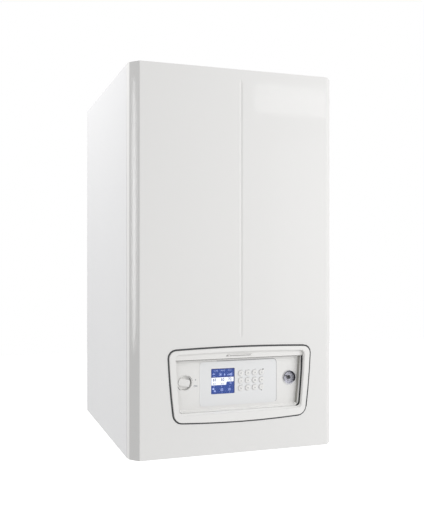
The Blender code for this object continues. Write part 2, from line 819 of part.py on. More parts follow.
def change(body, tool, operation):
    """Joins a shell to an object, or cuts it away."""
    guide = tool.build("guide", ZINC)
    step = body.modifiers.new(operation.title(), "BOOLEAN")
    step.operation = operation
    step.solver = "EXACT"
    step.object = guide
    changed = body.evaluated_get(bpy.context.evaluated_depsgraph_get())
    mesh = bpy.data.meshes.new_from_object(changed)
    shape = bmesh.new()
    shape.from_mesh(mesh)
    bmesh.ops.remove_doubles(shape, verts=shape.verts, dist=MERGE)
    shape.to_mesh(mesh)
    shape.free()
    mesh.set_sharp_from_angle(angle=SHARP_ANGLE)
    body.modifiers.clear()
    body.data = mesh
    bpy.data.objects.remove(guide, do_unlink=True)


def join(body, tool):
    change(body, tool, "UNION")


def cut(body, tool):
    change(body, tool, "DIFFERENCE")


def bent(points, radius, steps=5):
    """A path through the points, with a round bend at each inner one."""
    path = [points[0]]
    for before, corner, after in zip(points, points[1:], points[2:]):
        back = (before - corner).normalized()
        ahead = (after - corner).normalized()
        half = (math.pi - back.angle(ahead)) / 2
        reach = radius * math.tan(half)
        middle = corner + (back + ahead).normalized() * (radius / math.cos(half))
        start = corner + back * reach - middle
        end = corner + ahead * reach - middle
        for i in range(steps + 1):
            path.append(middle + start.slerp(end, i / steps).normalized() * radius)
    path.append(points[-1])
    return path


def lengthened(path):
    """The same path, carried straight on past both ends."""
    start = path[0] + (path[0] - path[1]).normalized() * OVERRUN
    end = path[-1] + (path[-1] - path[-2]).normalized() * OVERRUN
    return [start, *path[1:-1], end]


# Casing


def cover_outline(inset):
    """Half of the cover's section as (across, depth), from the rear edge to the face."""
    lean = math.tan(math.pi / 8) * inset
    return [
        (-HALF_WIDTH + inset, COVER_DEPTH - inset),
        (-HALF_WIDTH + SIDE_SPLAY + inset, CHAMFER + lean),
        (-HALF_WIDTH + SIDE_SPLAY + CHAMFER + lean, inset),
    ]


def front_cover():
    shell = Shell()
    lip_hole = [
        (su * (HALF_WIDTH - LIP_WIDTH), CASE_HEIGHT / 2 + sv * (CASE_HEIGHT / 2 - LIP_WIDTH))
        for su, sv in ((-1, -1), (1, -1), (1, 1), (-1, 1))
    ]
    groove = [
        (0.0, GROOVE_LOW), (GROOVE_HALF, GROOVE_LOW + GROOVE_TAPER),
        (GROOVE_HALF, GROOVE_HIGH - GROOVE_TAPER), (0.0, GROOVE_HIGH),
        (-GROOVE_HALF, GROOVE_HIGH - GROOVE_TAPER), (-GROOVE_HALF, GROOVE_LOW + GROOVE_TAPER),
    ]
    for inset in (0.0, SHEET):
        low, high = inset, CASE_HEIGHT - inset
        half = cover_outline(inset)
        section = half + [(-u, w) for u, w in reversed(half)]
        ends = [[on_front(u, v, w) for u, w in section] for v in (low, high)]
        for end in ends:
            shell.cap(end)
        shell.strip(ends[0][:3], ends[1][:3], closed=False)
        shell.strip(ends[0][3:], ends[1][3:], closed=False)
        face = [ends[0][2], ends[0][3], ends[1][3], ends[1][2]]
        shell.cap(
            face,
            [on_panel(u, v, inset) for u, v in opening(0.0)],
            [on_panel(u, v, inset) for u, v in groove],
        )
        edge = [on_panel(u, v, inset) for u, v in groove]
        foot = on_panel(0.0, GROOVE_LOW + GROOVE_TAPER, inset + GROOVE_DEPTH)
        head = on_panel(0.0, GROOVE_HIGH - GROOVE_TAPER, inset + GROOVE_DEPTH)
        for side in (edge[:4], [edge[0], edge[5], edge[4], edge[3]]):
            shell.face(side[0], side[1], foot)
            shell.face(side[1], side[2], head, foot)
            shell.face(side[2], side[3], head)
        rear = [ends[0][0], ends[0][5], ends[1][5], ends[1][0]]
        shell.cap(rear, [on_front(u, v, COVER_DEPTH - inset) for u, v in lip_hole])
    shell.strip(
        [on_front(u, v, COVER_DEPTH) for u, v in lip_hole],
        [on_front(u, v, COVER_DEPTH - SHEET) for u, v in lip_hole],
    )
    shell.strip(
        [on_panel(u, v, 0.0) for u, v in opening(0.0)],
        [on_panel(u, v, SHEET) for u, v in opening(0.0)],
    )
    cover = shell.build("front_cover", PAINT)
    studs = Shell()
    for side in (-1, 1):
        for height in (STUD_MARGIN, CASE_HEIGHT - STUD_MARGIN):
            middle = side * (HALF_WIDTH - STUD_INSET)
            studs.turned(
                [
                    (0.0, COVER_DEPTH - SHEET / 2), (STUD_RADIUS, COVER_DEPTH - SHEET / 2),
                    (STUD_RADIUS, COVER_DEPTH + STUD_REACH - STUD_RADIUS / 2),
                    (STUD_RADIUS / 2, COVER_DEPTH + STUD_REACH), (0.0, COVER_DEPTH + STUD_REACH),
                ],
                12,
                lambda u, v, w: on_front(middle + u, height + v, w),
            )
    join(cover, studs)


def side_panel(name, side):
    """An L with a return lip, drilled for the cover's studs and the box's screws."""
    start = COVER_DEPTH + GAP
    outer, inner = HALF_WIDTH, HALF_WIDTH - SHEET
    edge = HALF_WIDTH - FLANGE
    rear = CASE_DEPTH
    outline = [
        (outer, start), (outer, rear), (inner, rear), (inner, start + SHEET),
        (edge + SHEET, start + SHEET), (edge + SHEET, start + RETURN_LIP),
        (edge, start + RETURN_LIP), (edge, start),
    ]
    shell = Shell()
    shell.stack(
        [([(side * u, w) for u, w in outline], 0.0, CASE_HEIGHT)],
        lambda u, w, v: on_front(u, v, w),
    )
    panel = shell.build(name, PAINT)
    drills = Shell()
    holes = [
        (HALF_WIDTH - STUD_INSET, STUD_MARGIN, STUD_HOLE),
        (HALF_WIDTH - STUD_INSET, CASE_HEIGHT - STUD_MARGIN, STUD_HOLE),
        (SCREW_X, SCREW_Z, SCREW_HOLE),
    ]
    for across, height, radius in holes:
        drills.turned(
            [
                (0.0, start - OVERRUN), (radius, start - OVERRUN),
                (radius, start + RETURN_LIP / 2), (0.0, start + RETURN_LIP / 2),
            ],
            12,
            lambda u, v, w: on_front(side * across + u, height + v, w),
        )
    cut(panel, drills)
    notch = TRAY_FLANGE + GAP
    for low, high in ((-OVERRUN, notch), (CASE_HEIGHT - notch, CASE_HEIGHT + OVERRUN)):
        near = on_front(side * inner, low, start - OVERRUN)
        far = on_front(side * (edge - OVERRUN), high, start + RETURN_LIP + OVERRUN)
        cut(panel, block(near, far))


def tray(name, outer_face, inward, openings):
    """A panel between the side panels, with flanges that turn inward on its four edges."""
    half = HALF_WIDTH - SHEET - GAP
    near = FRONT + COVER_DEPTH + GAP
    far = BACK - WALL_RECESS - SHEET - GAP
    inner_face = outer_face + inward * SHEET
    rim = outer_face + inward * TRAY_FLANGE
    shell = Shell()

    def rectangle(inset, height):
        return [
            Vector((su * (half - inset), near + inset if sv < 0 else far - inset, height))
            for su, sv in ((-1, -1), (1, -1), (1, 1), (-1, 1))
        ]

    def holes(height):
        return [[Vector((u, v, height)) for u, v in hole] for hole in openings]

    shell.cap(rectangle(0.0, outer_face), *holes(outer_face))
    shell.cap(rectangle(SHEET, inner_face), *holes(inner_face))
    for near_hole, far_hole in zip(holes(outer_face), holes(inner_face)):
        shell.strip(near_hole, far_hole)
    shell.strip(rectangle(0.0, outer_face), rectangle(0.0, rim))
    shell.strip(rectangle(0.0, rim), rectangle(SHEET, rim))
    shell.strip(rectangle(SHEET, rim), rectangle(SHEET, inner_face))
    shell.build(name, PAINT)


def top_panel():
    tray(
        "top_panel", TOP, -1,
        [
            circle(SPIGOT_OUTER + PANEL_CLEARANCE, 24, (0.0, DUCT_Y)),
            circle(AIR_OUTER + PANEL_CLEARANCE, 24, (AIR_X, DUCT_Y)),
        ],
    )


def bottom_panel():
    tray(
        "bottom_panel", BASE, 1,
        [
            circle(PIPE_RADIUS + PANEL_CLEARANCE, 16, (FLOW_X, WATER_Y)),
            circle(PIPE_RADIUS + PANEL_CLEARANCE, 16, (PUMP_X, WATER_Y)),
            circle(GAS_RADIUS + PANEL_CLEARANCE, 16, (GAS_X, WATER_Y)),
            circle(TRAP_OUTLET + PANEL_CLEARANCE, 16, (0.0, DUCT_Y)),
        ],
    )


def back_frame():
    sheet_face = CASE_DEPTH - WALL_RECESS
    outer = HALF_WIDTH - SHEET - GAP
    half = [
        (outer - WALL_LIP, CASE_DEPTH), (outer, CASE_DEPTH), (outer, sheet_face - SHEET),
    ]
    inner_half = [
        (outer - WALL_LIP, CASE_DEPTH - SHEET), (outer - SHEET, CASE_DEPTH - SHEET),
        (outer - SHEET, sheet_face),
    ]
    outline = (
        half + [(-u, w) for u, w in reversed(half)]
        + [(-u, w) for u, w in inner_half] + list(reversed(inner_half))
    )
    shell = Shell()
    shell.stack([(outline, 0.0, CASE_HEIGHT)], lambda u, w, v: on_front(u, v, w))
    frame = shell.build("back_frame", ZINC)
    for side in (-1, 1):
        cut(frame, block(
            on_front(side * HOOK_X - SLOT_HALF, BRACKET_HIGH + GAP - SLOT_HEIGHT, sheet_face - OVERRUN),
            on_front(side * HOOK_X + SLOT_HALF, BRACKET_HIGH + GAP, sheet_face + OVERRUN),
        ))


def wall_bracket():
    """A rail on the wall, with two hooks that reach through the back frame's slots."""
    wall = CASE_DEPTH
    shell = Shell()
    plate = [
        (-BRACKET_HALF, BRACKET_LOW), (BRACKET_HALF, BRACKET_LOW),
        (BRACKET_HALF, BRACKET_HIGH), (-BRACKET_HALF, BRACKET_HIGH),
    ]
    height = (BRACKET_LOW + BRACKET_HIGH) / 2
    holes = [circle(BOLT_HOLE, 12, (side * BOLT_HOLE_X, height)) for side in (-1, 1)]
    shell.stack([(plate, wall - BRACKET_SHEET, wall)], on_front, holes)
    bracket = shell.build("wall_bracket", ZINC)
    hook_front = wall - WALL_RECESS - SHEET - HOOK_AHEAD
    hook = [
        (wall - BRACKET_SHEET / 2, BRACKET_HIGH - BRACKET_SHEET),
        (wall - BRACKET_SHEET / 2, BRACKET_HIGH),
        (hook_front, BRACKET_HIGH), (hook_front, BRACKET_HIGH + HOOK_RISE),
        (hook_front - BRACKET_SHEET, BRACKET_HIGH + HOOK_RISE),
        (hook_front - BRACKET_SHEET, BRACKET_HIGH - BRACKET_SHEET),
    ]
    for side in (-1, 1):
        arm = Shell()
        arm.stack(
            [(hook, side * HOOK_X - HOOK_HALF, side * HOOK_X + HOOK_HALF)],
            lambda w, v, u: on_front(u, v, w),
        )
        join(bracket, arm)


def box_screw(name, side):
    """One screw through an ear of the electronics box into the side panel's flange."""
    face = COVER_DEPTH - SHEET - GAP
    shell = Shell()
    shell.turned(
        [
            (0.0, face - SCREW_HEAD_HEIGHT), (SCREW_HEAD * 3 / 4, face - SCREW_HEAD_HEIGHT),
            (SCREW_HEAD, face - SCREW_HEAD_HEIGHT / 2), (SCREW_HEAD, face),
            (SCREW_SHANK, face), (SCREW_SHANK, face + SCREW_REACH), (0.0, face + SCREW_REACH),
        ],
        10,
        lambda u, v, w: on_front(side * SCREW_X + u, SCREW_Z + v, w),
    )
    shell.build(name, STEEL)


# Control panel


def ring(shell, rows):
    """A closed band through rows of (loop, depth), back to the first row."""
    placed = [[on_panel(u, v, w) for u, v in loop] for loop, w in rows]
    for i, row in enumerate(placed):
        shell.strip(placed[i - 1], row)


def panel_gasket():
    outer, inner = opening(GAP), opening(GAP + GASKET_WIDTH)
    shell = Shell()
    ring(shell, [
        (outer, GASKET_DEPTH), (outer, -GASKET_PROUD), (inner, -GASKET_PROUD), (inner, GASKET_DEPTH),
    ])
    shell.build("panel_gasket", DARK_RUBBER)


def panel_bezel():
    inset = GAP + GASKET_WIDTH + BEZEL_CLEARANCE
    shell = Shell()
    ring(shell, [
        (opening(inset), BEZEL_REAR),
        (opening(inset), BEZEL_ROUND - BEZEL_PROUD),
        (opening(inset + BEZEL_ROUND / 3), BEZEL_ROUND / 3 - BEZEL_PROUD),
        (opening(inset + BEZEL_ROUND), -BEZEL_PROUD),
        (window(WINDOW_ROUND, WINDOW_SLOPE, WINDOW_BELLY), -BEZEL_PROUD),
        (window(0.0, WINDOW_SLOPE * 2 / 3, WINDOW_BELLY / 2), WINDOW_ROUND - BEZEL_PROUD),
        (window(0.0, 0.0, 0.0), BEZEL_REAR),
    ])
    shell.build("panel_bezel", PLASTIC)


def door():
    """A flat shutter with a finger pull, at the top of its travel."""
    middle = (0.0, DOOR_LOW + DOOR_HEIGHT / 2)
    rear = DOOR_DEPTH + DOOR_THICKNESS
    top = DOOR_DEPTH - PULL_PROUD
    body = rounded(2 * DOOR_HALF, DOOR_HEIGHT, PULL_RADIUS, steps=2, centre=middle)
    pull_middle = (0.0, PULL_LOW + PULL_HEIGHT / 2)
    pull = rounded(2 * PULL_HALF, PULL_HEIGHT, PULL_RADIUS, centre=pull_middle)
    crest = rounded(
        2 * PULL_HALF - PULL_RADIUS, PULL_HEIGHT - PULL_RADIUS, PULL_RADIUS / 2, centre=pull_middle
    )
    shell = Shell()
    layers = ((pull, DOOR_DEPTH), (pull, top + PULL_RADIUS / 2), (crest, top))
    rows = [[on_panel(u, v, w) for u, v in loop] for loop, w in layers]
    front = [on_panel(u, v, DOOR_DEPTH) for u, v in body]
    back = [on_panel(u, v, rear) for u, v in body]
    shell.cap(front, rows[0])
    shell.strip(rows[0], rows[1])
    shell.strip(rows[1], rows[2])
    shell.cap(rows[2])
    shell.strip(front, back)
    shell.cap(back)
    shell.build("door", PLASTIC, on_panel(*middle, DOOR_DEPTH))


def fascia():
    shell = Shell()
    centre = (0.0, (FASCIA_LOW + FASCIA_HIGH) / 2)
    edge = rounded(2 * FASCIA_HALF, FASCIA_HIGH - FASCIA_LOW, FASCIA_WALL, steps=2, centre=centre)
    module_hole = rounded(
        MODULE_WIDTH - 2 * MODULE_FLANGE, MODULE_HEIGHT - 2 * MODULE_FLANGE,
        MODULE_RADIUS - MODULE_FLANGE, centre=(0.0, MODULE_MIDDLE),
    )
    holes = [
        module_hole,
        circle(WELL_RADIUS + WELL_WALL + GAP, 24, (-DIAL_X, DIAL_Z)),
        circle(GAUGE_NECK + GAP, 24, (DIAL_X, DIAL_Z)),
    ]
    skins = (
        (recess(0.0, 0.0), recess(RECESS_DRAFT, RECESS_FOOT), 0.0),
        (
            recess(-FASCIA_WALL, -FASCIA_WALL),
            recess(RECESS_DRAFT - FASCIA_WALL, RECESS_FOOT - FASCIA_WALL), FASCIA_WALL,
        ),
    )
    for mouth, floor, behind in skins:
        rim_w, floor_w = RIM_DEPTH + behind, FLOOR_DEPTH + behind
        mouth_row = [on_panel(u, v, rim_w) for u, v in mouth]
        floor_row = [on_panel(u, v, floor_w) for u, v in floor]
        shell.cap([on_panel(u, v, rim_w) for u, v in edge], mouth_row)
        shell.strip(mouth_row, floor_row)
        shell.cap(floor_row, *([on_panel(u, v, floor_w) for u, v in hole] for hole in holes))
    shell.strip(
        [on_panel(u, v, RIM_DEPTH) for u, v in edge],
        [on_panel(u, v, RIM_DEPTH + FASCIA_WALL) for u, v in edge],
    )
    for hole in holes:
        shell.strip(
            [on_panel(u, v, FLOOR_DEPTH) for u, v in hole],
            [on_panel(u, v, FLOOR_DEPTH + FASCIA_WALL) for u, v in hole],
        )
    panel = shell.build("fascia", PLASTIC)
    inner, outer = GUIDE_INNER, GUIDE_INNER + GUIDE_WIDTH
    root = RIM_DEPTH + GUIDE_ROOT
    lip = BEZEL_REAR
    low_guide = [(inner, root), (outer, root), (outer, BEZEL_REAR + GAP), (inner, BEZEL_REAR + GAP)]
    high_guide = [
        (inner, root), (outer, root), (outer, GUIDE_LIP_DEPTH),
        (inner - GUIDE_LIP, GUIDE_LIP_DEPTH), (inner - GUIDE_LIP, lip), (inner, lip),
    ]
    for side in (-1, 1):
        for guide, low, high in (
            (low_guide, GUIDE_LOW, GUIDE_SPLIT - GUIDE_ROOT),
            (high_guide, GUIDE_SPLIT, FASCIA_HIGH - GUIDE_END),
        ):
            rail = Shell()
            rail.stack([([(side * u, w) for u, w in guide], low, high)], lambda u, w, v: on_panel(u, v, w))
            join(panel, rail)


def key_places():
    for row in range(KEY_ROWS):
        for column in range(KEY_COLUMNS):
            yield KEY_FIRST_X + column * KEY_PITCH, KEY_TOP_Z - row * KEY_ROW_PITCH


def module_faces():
    """Depths of the module plate's front and rear faces."""
    return FLOOR_DEPTH - MODULE_PROUD, FLOOR_DEPTH - GAP


def controller_housing():
    front, rear = module_faces()
    middle = (0.0, MODULE_MIDDLE)
    neck = MODULE_FLANGE + 2 * GAP
    plate = rounded(MODULE_WIDTH, MODULE_HEIGHT, MODULE_RADIUS, steps=4, centre=middle)
    body = rounded(
        MODULE_WIDTH - 2 * neck, MODULE_HEIGHT - 2 * neck, MODULE_RADIUS - neck, centre=middle
    )
    cavity = rounded(
        MODULE_WIDTH - 2 * (neck + MODULE_WALL), MODULE_HEIGHT - 2 * (neck + MODULE_WALL),
        MODULE_RADIUS - neck - MODULE_WALL, centre=middle,
    )
    holes = [rounded(DISPLAY_WIDTH, DISPLAY_HEIGHT, DISPLAY_RADIUS, centre=(DISPLAY_X, DISPLAY_Z))]
    holes += [circle(KEY_HOLE, 14, place) for place in key_places()]
    shell = Shell()

    def row(loop, w):
        return [on_panel(u, v, w) for u, v in loop]

    shell.cap(row(plate, front), *(row(hole, front) for hole in holes))
    shell.strip(row(plate, front), row(plate, rear))
    shell.cap(row(plate, rear), row(body, rear))
    shell.strip(row(body, rear), row(body, MODULE_REAR))
    shell.strip(row(body, MODULE_REAR), row(cavity, MODULE_REAR))
    shell.strip(row(cavity, MODULE_REAR), row(cavity, rear))
    shell.cap(row(cavity, rear), *(row(hole, rear) for hole in holes))
    for hole in holes:
        shell.strip(row(hole, front), row(hole, rear))
    shell.build("controller_housing", MODULE_PLASTIC)


def display():
    front, rear = module_faces()
    middle = (DISPLAY_X, DISPLAY_Z)
    lens = rounded(
        DISPLAY_WIDTH - 2 * GAP, DISPLAY_HEIGHT - 2 * GAP, DISPLAY_RADIUS - GAP, centre=middle
    )
    shell = Shell()
    shell.stack([(lens, front + LENS_SUNK, rear)], on_panel)
    shell.build("display_lens", CLEAR)
    slab = rounded(
        DISPLAY_WIDTH + 2 * SCREEN_MARGIN, DISPLAY_HEIGHT + 2 * SCREEN_MARGIN, DISPLAY_RADIUS, centre=middle
    )
    shell = Shell()
    shell.stack([(slab, rear + GAP, BOARD_DEPTH - GAP)], on_panel)
    shell.build("display_screen", SCREEN)


def circuit_board():
    """The board, with a rubber contact behind each key."""
    neck = MODULE_FLANGE + 3 * GAP + MODULE_WALL
    sheet = rounded(
        MODULE_WIDTH - 2 * neck, MODULE_HEIGHT - 2 * neck, MODULE_RADIUS - neck,
        centre=(0.0, MODULE_MIDDLE),
    )
    contact_face = module_faces()[1] + GAP + KEY_FLANGE_THICKNESS + KEY_TRAVEL + GAP
    contacts = [circle(CONTACT_RADIUS, 8, place) for place in key_places()]
    shell = Shell()
    front = [on_panel(u, v, BOARD_DEPTH) for u, v in sheet]
    back = [on_panel(u, v, BOARD_DEPTH + BOARD_THICKNESS) for u, v in sheet]
    roots = [[on_panel(u, v, BOARD_DEPTH) for u, v in contact] for contact in contacts]
    tips = [[on_panel(u, v, contact_face) for u, v in contact] for contact in contacts]
    shell.cap(front, *roots)
    shell.strip(front, back)
    shell.cap(back)
    for root, tip in zip(roots, tips):
        shell.strip(root, tip)
        shell.cap(tip)
    shell.build("circuit_board", CIRCUIT)


def keys():
    """Twelve round keys, each with the flange that the module's plate holds back."""
    front, rear = module_faces()
    flange = rear + GAP
    profile = [
        (0.0, front - KEY_PROUD - KEY_CROWN), (KEY_RADIUS - KEY_ROUND, front - KEY_PROUD),
        (KEY_RADIUS, front - KEY_PROUD + KEY_ROUND), (KEY_RADIUS, flange),
        (KEY_FLANGE, flange), (KEY_FLANGE, flange + KEY_FLANGE_THICKNESS),
        (0.0, flange + KEY_FLANGE_THICKNESS),
    ]
    for number, (x, z) in enumerate(key_places(), start=1):
        shell = Shell()
        shell.turned(profile, 14, lambda u, v, w: on_panel(x + u, z + v, w))
        shell.build(f"key_{number:02d}", PLASTIC, on_panel(x, z, flange))


def switch_body():
    """The cup that the knob turns in, held behind the fascia by its flange."""
    floor_rear = FLOOR_DEPTH + FASCIA_WALL + GAP
    shell = Shell()
    shell.turned(
        [
            (WELL_RADIUS, FLOOR_DEPTH), (WELL_RADIUS + WELL_WALL, FLOOR_DEPTH),
            (WELL_RADIUS + WELL_WALL, floor_rear), (WELL_FLANGE, floor_rear),
            (WELL_FLANGE, floor_rear + WELL_FLANGE_THICKNESS),
            (WELL_RADIUS + WELL_WALL, floor_rear + WELL_FLANGE_THICKNESS),
            (WELL_RADIUS + WELL_WALL, FLOOR_DEPTH + WELL_DEPTH + WELL_FLANGE_THICKNESS),
            (SWITCH_REAR_RADIUS, FLOOR_DEPTH + WELL_DEPTH + WELL_FLANGE_THICKNESS),
            (SWITCH_REAR_RADIUS, SWITCH_REAR), (SPINDLE_BORE, SWITCH_REAR),
            (SPINDLE_BORE, FLOOR_DEPTH + WELL_DEPTH), (WELL_RADIUS, FLOOR_DEPTH + WELL_DEPTH),
        ],
        24,
        at_dial(-DIAL_X),
    )
    shell.build("switch_body", PLASTIC)


def switch_knob():
    """A disc with a raised grip bar, and its spindle behind."""
    face = FLOOR_DEPTH + KNOB_SUNK
    back = face + KNOB_THICKNESS
    tilt = Matrix.Rotation(GRIP_TILT, 2)
    grip = [tilt @ Vector(point) for point in rounded(2 * GRIP_HALF, GRIP_HEIGHT, GRIP_RADIUS, steps=4)]
    shell = Shell()
    shell.stack(
        [
            ([tuple(point) for point in grip], face - GRIP_RISE, face),
            (circle(KNOB_RADIUS, 24), face, back),
            (circle(SPINDLE_RADIUS, 12), back, back + SPINDLE_REACH),
        ],
        at_dial(-DIAL_X),
    )
    shell.build("switch_knob", PLASTIC, on_panel(-DIAL_X, DIAL_Z, face))


def gauge():
    """Case with its dial floor, needle on its pin, and the clear lens."""
    shell = Shell()
    shell.turned(
        [
            (GAUGE_BORE, FLOOR_DEPTH - GAUGE_PROUD), (GAUGE_RADIUS, FLOOR_DEPTH - GAUGE_PROUD),
            (GAUGE_RADIUS, FLOOR_DEPTH - GAP), (GAUGE_NECK, FLOOR_DEPTH - GAP),
            (GAUGE_NECK, GAUGE_REAR), (0.0, GAUGE_REAR),
            (0.0, DIAL_DEPTH + PIN_REACH), (PIN_BORE, DIAL_DEPTH + PIN_REACH),
            (PIN_BORE, DIAL_DEPTH), (GAUGE_BORE, DIAL_DEPTH),
        ],
        24,
        at_dial(DIAL_X),
    )
    shell.build("gauge_case", BLACK_PLASTIC)
    lens = Shell()
    lens.stack([(circle(LENS_RADIUS, 24), LENS_DEPTH, LENS_DEPTH + LENS_THICKNESS)], at_dial(DIAL_X))
    lens.build("gauge_lens", CLEAR)
    turn = Matrix.Rotation(NEEDLE_ANGLE, 2)
    pointer = [
        (-NEEDLE_TAIL, -NEEDLE_HALF), (-NEEDLE_HUB, -NEEDLE_HALF), (NEEDLE_HUB, -NEEDLE_HALF),
        (NEEDLE_REACH, -NEEDLE_TIP_HALF), (NEEDLE_REACH, NEEDLE_TIP_HALF),
        (NEEDLE_HUB, NEEDLE_HALF), (-NEEDLE_HUB, NEEDLE_HALF), (-NEEDLE_TAIL, NEEDLE_HALF),
    ]
    blade = [tuple(turn @ Vector(point)) for point in pointer]
    needle = Shell()
    needle.stack([(blade, NEEDLE_DEPTH, NEEDLE_DEPTH + NEEDLE_THICKNESS)], at_dial(DIAL_X))
    piece = needle.build("gauge_needle", BLACK_PLASTIC, on_panel(DIAL_X, DIAL_Z, DIAL_DEPTH))
    hub = Shell()
    hub.stack(
        [
            (circle(NEEDLE_HUB, 12), NEEDLE_DEPTH - NEEDLE_THICKNESS, DIAL_DEPTH - GAP),
            (circle(PIN_RADIUS, 12), DIAL_DEPTH - GAP, DIAL_DEPTH + PIN_REACH - GAP),
        ],
        at_dial(DIAL_X),
    )
    join(piece, hub)


def electronics_box():
    """A tray behind the fascia, with ears that rest on the side panels' flanges."""
    mouth = RIM_DEPTH + FASCIA_WALL + GAP
    ear_rear = COVER_DEPTH
    box = block(
        on_panel(-BOX_HALF, BOX_LOW, mouth), on_panel(BOX_HALF, BOX_HIGH, BOX_REAR)
    ).build("electronics_box", ZINC)
    ear_half = HALF_WIDTH - LIP_WIDTH - EAR_CLEARANCE
    join(box, block(
        on_front(-ear_half, EAR_LOW, ear_rear - SHEET), on_front(ear_half, EAR_HIGH, ear_rear)
    ))
    cut(box, block(
        on_panel(-BOX_HALF + BOX_WALL, BOX_LOW + BOX_WALL, mouth - OVERRUN),
        on_panel(BOX_HALF - BOX_WALL, BOX_HIGH - BOX_WALL, BOX_REAR - BOX_WALL),
    ))
    for side in (-1, 1):
        cut(box, rod(
            SCREW_HOLE, ear_rear - OVERRUN, ear_rear + OVERRUN, 10,
            lambda u, v, w: on_front(side * SCREW_X + u, SCREW_Z + v, w),
        ))


# Burner and exchanger


def heat_exchanger():
    centre = rolled(along_y(0.0, CORE_Z))
    shell = Shell()
    shell.turned(
        [
            (CORE_FLANGE, CORE_FRONT), (CORE_FLANGE, CORE_FRONT + CORE_FLANGE_THICKNESS),
            (CORE_RADIUS, CORE_FRONT + CORE_FLANGE_THICKNESS), (CORE_RADIUS, CORE_REAR),
            (0.0, CORE_REAR), (0.0, CORE_FRONT),
        ],
        32,
        centre,
    )
    core = shell.build("heat_exchanger", STEEL)
    seat = BACK - WALL_RECESS - SHEET - GAP
    inside = CORE_RADIUS - CORE_WALL / 2
    for su in (-1, 1):
        for sv in (-1, 1):
            x, z = su * LUG_PLACE, CORE_Z + sv * LUG_PLACE
            join(core, block(
                (x - LUG_HALF, CORE_REAR - CORE_WALL / 2, z - LUG_HALF),
                (x + LUG_HALF, seat, z + LUG_HALF),
            ))
    join(core, rod(
        VENT_BOSS, CORE_Z + inside - CORE_WALL / 4, CORE_Z + VENT_BOSS_RISE, 12, along_z(0.0, VENT_Y),
    ))
    stubs = (
        (FLUE_STUB, FLUE_STUB - FLUE_STUB_WALL, CORE_Z, CORE_Z + FLUE_STUB_RISE, 24, along_z(0.0, DUCT_Y)),
        (DRAIN_STUB, DRAIN_BORE, CORE_Z - DRAIN_REACH, CORE_Z, 16, along_z(0.0, DUCT_Y)),
        (WATER_STUB, WATER_STUB_BORE, -WATER_STUB_REACH, 0.0, 16, along_x(WATER_Y, CORE_Z)),
        (WATER_STUB, WATER_STUB_BORE, 0.0, WATER_STUB_REACH, 16, along_x(WATER_Y, CORE_Z)),
    )
    for outer, bore, start, end, sides, place in stubs:
        join(core, rod(outer, start, end, sides, place))
    cut(core, rod(
        inside - CORE_WALL / 2, CORE_FRONT - OVERRUN, CORE_REAR - CORE_WALL, 32, rolled(centre),
    ))
    for outer, bore, start, end, sides, place in stubs:
        low = start - OVERRUN if start != 0.0 and start != CORE_Z else start
        high = end + OVERRUN if end != 0.0 and end != CORE_Z else end
        cut(core, rod(bore, low, high, sides, place))
    drills = Shell()
    for u, v in circle(BOLT_CIRCLE, DOOR_BOLTS):
        drills.turned(
            [
                (0.0, CORE_FRONT - OVERRUN), (BOLT_CLEARANCE_HOLE, CORE_FRONT - OVERRUN),
                (BOLT_CLEARANCE_HOLE, CORE_FRONT + OVERRUN), (0.0, CORE_FRONT + OVERRUN),
            ],
            8,
            along_y(u, CORE_Z + v),
        )
    cut(core, drills)


def exchanger_coil():
    """One unbroken helix of tube that lies against the housing's wall."""
    steps = 14
    path = []
    for i in range(COIL_TURNS * steps + 1):
        angle = 2 * math.pi * i / steps
        path.append(Vector((
            COIL_RADIUS * math.cos(angle), COIL_START + COIL_PITCH * i / steps,
            CORE_Z + COIL_RADIUS * math.sin(angle),
        )))
    shell = Shell()
    shell.swept(path, COIL_TUBE, 6)
    shell.build("exchanger_coil", STEEL)


def electrode_places():
    for side in (-1, 1):
        yield side * ELECTRODE_SPREAD, CORE_Z + ELECTRODE_RISE


def exchanger_door():
    holes = [circle(MIX_BORE, 16)]
    holes += [circle(BOLT_CLEARANCE_HOLE, 8, place) for place in circle(BOLT_CIRCLE, DOOR_BOLTS)]
    holes += [circle(CERAMIC_HOLE, 10, (x, z - CORE_Z)) for x, z in electrode_places()]
    shell = Shell()
    rear = CORE_FRONT - GAP
    shell.stack([(circle(CORE_FLANGE, 32), rear - DOOR_PLATE, rear)], along_y(0.0, CORE_Z), holes)
    shell.build("exchanger_door", CASTING)


def clamp_ring():
    """A ring with six bolts that clamps the door to the housing's flange."""
    rear = CORE_FRONT - 2 * GAP - DOOR_PLATE
    front = rear - RING_THICKNESS
    place = along_y(0.0, CORE_Z)
    shell = Shell()
    shell.turned(
        [(RING_INNER, front), (CORE_FLANGE, front), (CORE_FLANGE, rear), (RING_INNER, rear)], 32, place
    )
    clamp = shell.build("clamp_ring", ZINC)
    bolts = Shell()
    for u, v in circle(BOLT_CIRCLE, DOOR_BOLTS):
        bolts.stack(
            [
                (circle(BOLT_HEAD, 6), front - BOLT_HEAD_HEIGHT, front + RING_THICKNESS / 2),
                (circle(BOLT_SHANK, 8), front + RING_THICKNESS / 2, CORE_FRONT + CORE_FLANGE_THICKNESS),
            ],
            along_y(u, CORE_Z + v),
        )
    join(clamp, bolts)


def burner():
    """A closed tube behind the door, open to the elbow in front."""
    start = CORE_FRONT
    end = start + BURNER_LENGTH
    shell = Shell()
    shell.turned(
        [
            (BURNER_FLANGE, start), (BURNER_FLANGE, start + BURNER_FLANGE_THICKNESS),
            (BURNER_RADIUS, start + BURNER_FLANGE_THICKNESS), (BURNER_RADIUS, end), (0.0, end),
            (0.0, end - BURNER_WALL), (BURNER_RADIUS - BURNER_WALL, end - BURNER_WALL),
            (BURNER_RADIUS - BURNER_WALL, start),
        ],
        20,
        along_y(0.0, CORE_Z),
    )
    shell.build("burner", STEEL)


